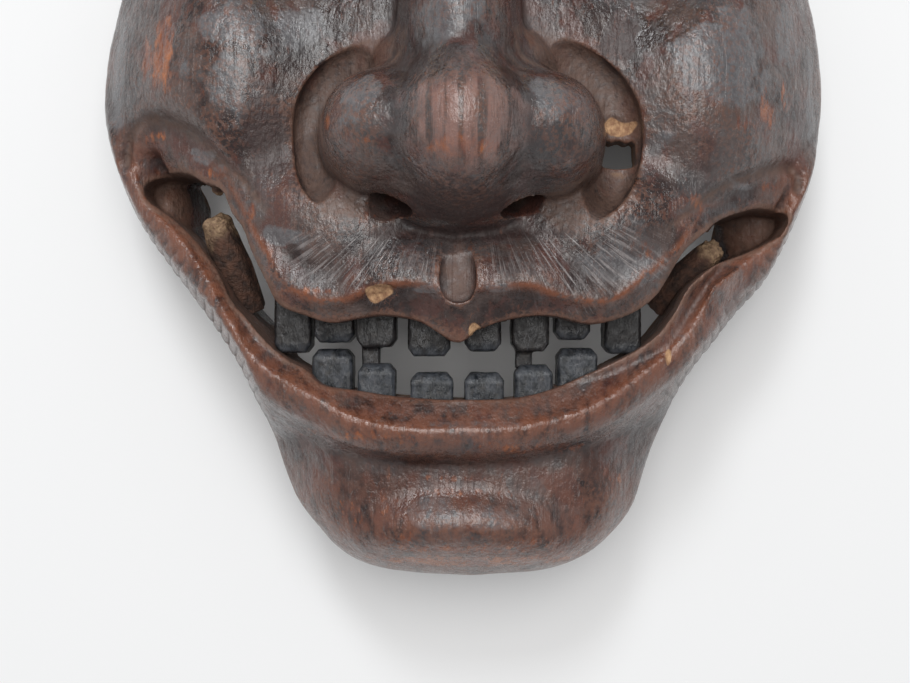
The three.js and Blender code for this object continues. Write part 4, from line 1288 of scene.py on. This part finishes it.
def worn_lacquer():
    surface = Surface("worn_lacquer")
    tree, mark, patches, cracks = surface.tree, surface.mark, surface.patches, surface.cracks
    fine = patches((0.9, 0.75, 0.9), 0.38, 0.64)
    clouds = patches((0.22, 0.16, 0.2), 0.36, 0.64)
    grain = patches((1.2, 0.05, 0.5), 0.56, 0.62)

    # Coats of lacquer, each worn through to the one below it, with a painted sheen and painted shade laid
    # among them
    surface.ground(patches((0.05, 0.04, 0.05), 0.45, 0.55), near_black, warm_brown)
    surface.coat(patches((0.11, 0.08, 0.11), 0.52, 0.57), 0.7, red_brown)
    surface.coat(patches((0.06, 0.09, 0.07), 0.5, 0.55), 0.45, cool_grey)
    # Paler grey with a painted sheen and painted highlights, on faces turned up towards the light
    haze = limited(tree, figure(tree, "MULTIPLY_ADD", clouds, 0.5, mark("haze")), 0.6, 0.88)
    surface.coat(haze, 0.85, tinted(tree, fine, dull_haze, pale_haze))
    # Dark red-brown lacquer, and painted shade under the nose and the lips
    dark = limited(tree, figure(tree, "MULTIPLY_ADD", clouds, 0.4, mark("dark")), 0.5, 0.8)
    surface.coat(dark, 0.85, deep_red)
    surface.coat(fine, 0.3, cloud_black)
    surface.coat(product(tree, mark("lip_band"), patches((0.4, 0.2, 0.3), 0.36, 0.56)), 0.8, band_brown)

    # Red undercoat that shows through
    ember = figure(tree, "MULTIPLY_ADD", patches((0.8, 0.3, 0.6), 0.3, 0.7), 1.1, mark("orange"))
    surface.coat(limited(tree, ember, 0.75, 1.1), 0.5, ember_edge)
    surface.coat(limited(tree, ember, 1.0, 1.5), 0.85, tinted(tree, clouds, dim_ember, bright_ember))
    worn = figure(tree, "MULTIPLY_ADD", patches((0.9, 0.9, 0.9), 0.47, 0.55), 0.5, mark("worn"))
    surface.coat(limited(tree, worn, 0.6, 1.2), 0.6, worn_edge)
    surface.coat(product(tree, mark("streaks"), patches((0.5, 0.02, 0.1), 0.42, 0.52)), 0.75, pink_brown)
    surface.coat(grain, 0.15, grain_black)

    # Strokes that fan out from the nose, and scratches all over
    fan = wire(tree, "CombineXYZ", {0: mark("stroke_way"), 1: mark("stroke_far")}).outputs[0]
    strokes = product(tree, mark("strokes"), patches((330, 8, 1), 0.53, 0.6, fan))
    surface.coat(product(tree, mark("strokes"), patches((190, 6, 1), 0.5, 0.4, fan)), 0.7, stroke_black)
    surface.coat(strokes, 0.8, stroke_grey)
    crackle = cracks((0.55, 0.14, 0.35), 0.03, 0.4)
    surface.coat(crackle, 0.4, crack_orange)
    scratches = cracks((1.3, 0.09, 0.6), 0.04, 0.42)
    surface.coat(scratches, 0.4, scratch_grey)
    surface.coat(cracks((0.5, 0.42, 0.5), 0.028, 0.45), 0.5, crazing_red)
    surface.coat(product(tree, mark("lip_line"), patches((0.3, 0.3, 0.3), 0.4, 0.5)), 0.85, lip_red)

    # Painted shade in the crevices, dust, and bare wood
    # Painted shade, darker wherever the surface falls back
    surface.coat(mark("crevice"), 0.7, crevice_shade)
    dust = product(tree, mark("dusty"), patches((0.7, 0.7, 0.7), 0.25, 0.55))
    surface.coat(dust, 0.8, dust_brown)
    raw = limited(tree, mark("raw"), 0.3, 0.5)
    surface.coat(raw, 1.0, tinted(tree, fine, dark_chip, bright_chip))
    inner = mark("inside")
    surface.coat(inner, 1.0, tinted(tree, patches((0.5, 0.04, 0.3), 0.35, 0.65), dark_wood, bright_wood))

    roughness = limited(tree, figure(tree, "MULTIPLY_ADD", fine, 0.7, clouds), 0.2, 1.5, 0.12, 0.36)
    for mask, share in ((mark("crevice"), 0.8), (dark, 0.45), (dust, 0.9), (raw, 1.0), (inner, 0.75)):
        matt = {0: product(tree, mask, share), 2: roughness, 3: 0.82}
        roughness = wire(tree, "Mix", matt, data_type="FLOAT").outputs[0]
    height = figure(tree, "MULTIPLY_ADD", clouds, 1.6, product(tree, fine, 0.3))
    for mask, deep in ((grain, 0.3), (crackle, 0.4), (scratches, 0.3), (strokes, 0.5)):
        height = figure(tree, "SUBTRACT", height, product(tree, mask, deep))
    return surface.finish(roughness, height, 0.16, **{"Specular IOR Level": 0.7})


def tooth_lacquer():
    surface = Surface("tooth_lacquer")
    tree, mark, patches = surface.tree, surface.mark, surface.patches
    surface.ground(patches((0.5, 0.3, 0.4), 0.44, 0.56), tooth_black, tooth_blue)
    surface.coat(mark("worn"), patches((0.9, 0.9, 0.9), 0.35, 0.5), tooth_edge)
    # Painted shade on the upper teeth and the posts
    surface.coat(mark("dusty"), 0.9, tooth_shade)
    surface.coat(surface.cracks((0.9, 0.35, 0.6), 0.06, 0.5), 0.5, tooth_crack)
    dirty = limited(tree, mark("crevice"), 0.0, 1.0, 0.25, 1.0)
    surface.coat(product(tree, patches((0.6, 0.6, 0.6), 0.5, 0.7), dirty), 0.5, tooth_dust)
    roughness = limited(tree, patches((0.5, 0.4, 0.5), 0.35, 0.65), 0.0, 1.0, 0.2, 0.45)
    height = patches((0.8, 0.35, 0.8), 0.3, 0.7)
    return surface.finish(roughness, height, 0.15, **{"Specular IOR Level": 0.3})


def broken_wood():
    surface = Surface("broken_wood")
    tree, mark, patches = surface.tree, surface.mark, surface.patches
    surface.ground(patches((0.35, 0.35, 0.35), 0.4, 0.6), tusk_black, tusk_brown)
    bare = tinted(tree, patches((1.2, 1.2, 1.2), 0.35, 0.65), dark_break, bright_break)
    surface.coat(mark("raw"), 1.0, bare)
    surface.coat(mark("worn"), 0.5, tusk_edge)
    # Darker in the crevices
    surface.coat(mark("crevice"), 0.6, tusk_crevice_dark)
    return surface.finish(0.7, patches((1.4, 1.4, 1.4), 0.3, 0.7), 0.3)


def worn_gilt():
    surface = Surface("worn_gilt")
    tree, mark, patches = surface.tree, surface.mark, surface.patches
    surface.ground(patches((0.3, 0.3, 0.3), 0.42, 0.6), gilt, worn_copper)
    tarnish = figure(tree, "MAXIMUM", mark("crevice"), patches((0.8, 0.8, 0.8), 0.58, 0.7))
    surface.coat(tarnish, 0.8, tarnish_brown)
    roughness = limited(tree, tarnish, 0.0, 1.0, 0.28, 0.6)
    return surface.finish(roughness, patches((0.5, 0.5, 0.5), 0.3, 0.7), 0.15, Metallic=1.0)


def hand_in(piece, node, material):
    piece.data.materials.clear()
    piece.data.materials.append(material)
    work_on(piece)
    bpy.ops.object.shade_smooth()
    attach(piece, "root")
    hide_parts(node)


shell = fit_shell(carve_shell())
shell.name = "carved_mask"
hand_in(shell, "mask_shell", worn_lacquer())
black_lacquer, bare_wood, gilt_plate = tooth_lacquer(), broken_wood(), worn_gilt()
for name in list(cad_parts):
    if "tooth" in name:
        hand_in(carve_tooth(name), name, black_lacquer)
    if "tusk" in name:
        hand_in(carve_tusk(name), name, bare_wood)
for name, side in (("left_eye_plate", -1), ("right_eye_plate", 1)):
    hand_in(beat_plate(side, "beaten_" + name), name, gilt_plate)


# Floor, light and camera
def pale_floor():
    """A pale cloth that looks white where the camera or a reflection sees it."""
    material = bpy.data.materials.new("pale_floor")
    material.use_nodes = True
    tree = material.node_tree
    ray = wire(tree, "LightPath").outputs
    seen = figure(tree, "MAXIMUM", ray["Is Camera Ray"], ray["Is Glossy Ray"])
    seen = figure(tree, "MAXIMUM", seen, ray["Is Transmission Ray"])
    given = {"Base Color": cloth_white, "Roughness": 0.9, "Emission Color": (1, 1, 1)}
    given["Emission Strength"] = product(tree, seen, cloth_glow)
    for name, value in given.items():
        fed(tree, tree.nodes["Principled BSDF"].inputs[name], value)
    return material


floor = started("floor", bpy.ops.mesh.primitive_plane_add, size=4)
floor.data.materials.append(pale_floor())

world = bpy.data.worlds.new("studio")
bpy.context.scene.world = world
world.use_nodes = True
world.node_tree.nodes["Background"].inputs["Color"].default_value = sky
world.node_tree.nodes["Background"].inputs["Strength"].default_value = sky_strength


def soft_lamp(name, place, size, power, color):
    data = bpy.data.lights.new(name, "AREA")
    data.shape = "RECTANGLE"
    data.size, data.size_y = size
    data.energy = power
    data.color = color
    lamp = bpy.data.objects.new(name, data)
    bpy.context.collection.objects.link(lamp)
    lamp.location = place
    lamp.rotation_mode = "QUATERNION"
    lamp.rotation_quaternion = (-Vector(place)).to_track_quat("-Z", "Y")


soft_lamp("window", place=(-0.16, 0.78, 1.05), size=(0.3, 0.28), power=5.5, color=(0.95, 0.98, 1))
soft_lamp("overhead", place=(0, 0.24, 1.3), size=(0.9, 0.9), power=11, color=(1, 0.99, 0.97))

camera_data = bpy.data.cameras.new("camera")
camera = bpy.data.objects.new("camera", camera_data)
bpy.context.collection.objects.link(camera)
camera.location = camera_place
camera_data.sensor_width = film_wide
camera_data.lens = film_wide * lens_long / photo_wide
camera_data.clip_start = 0.01
bpy.context.scene.camera = camera
bpy.context.scene.view_settings.view_transform = "Standard"
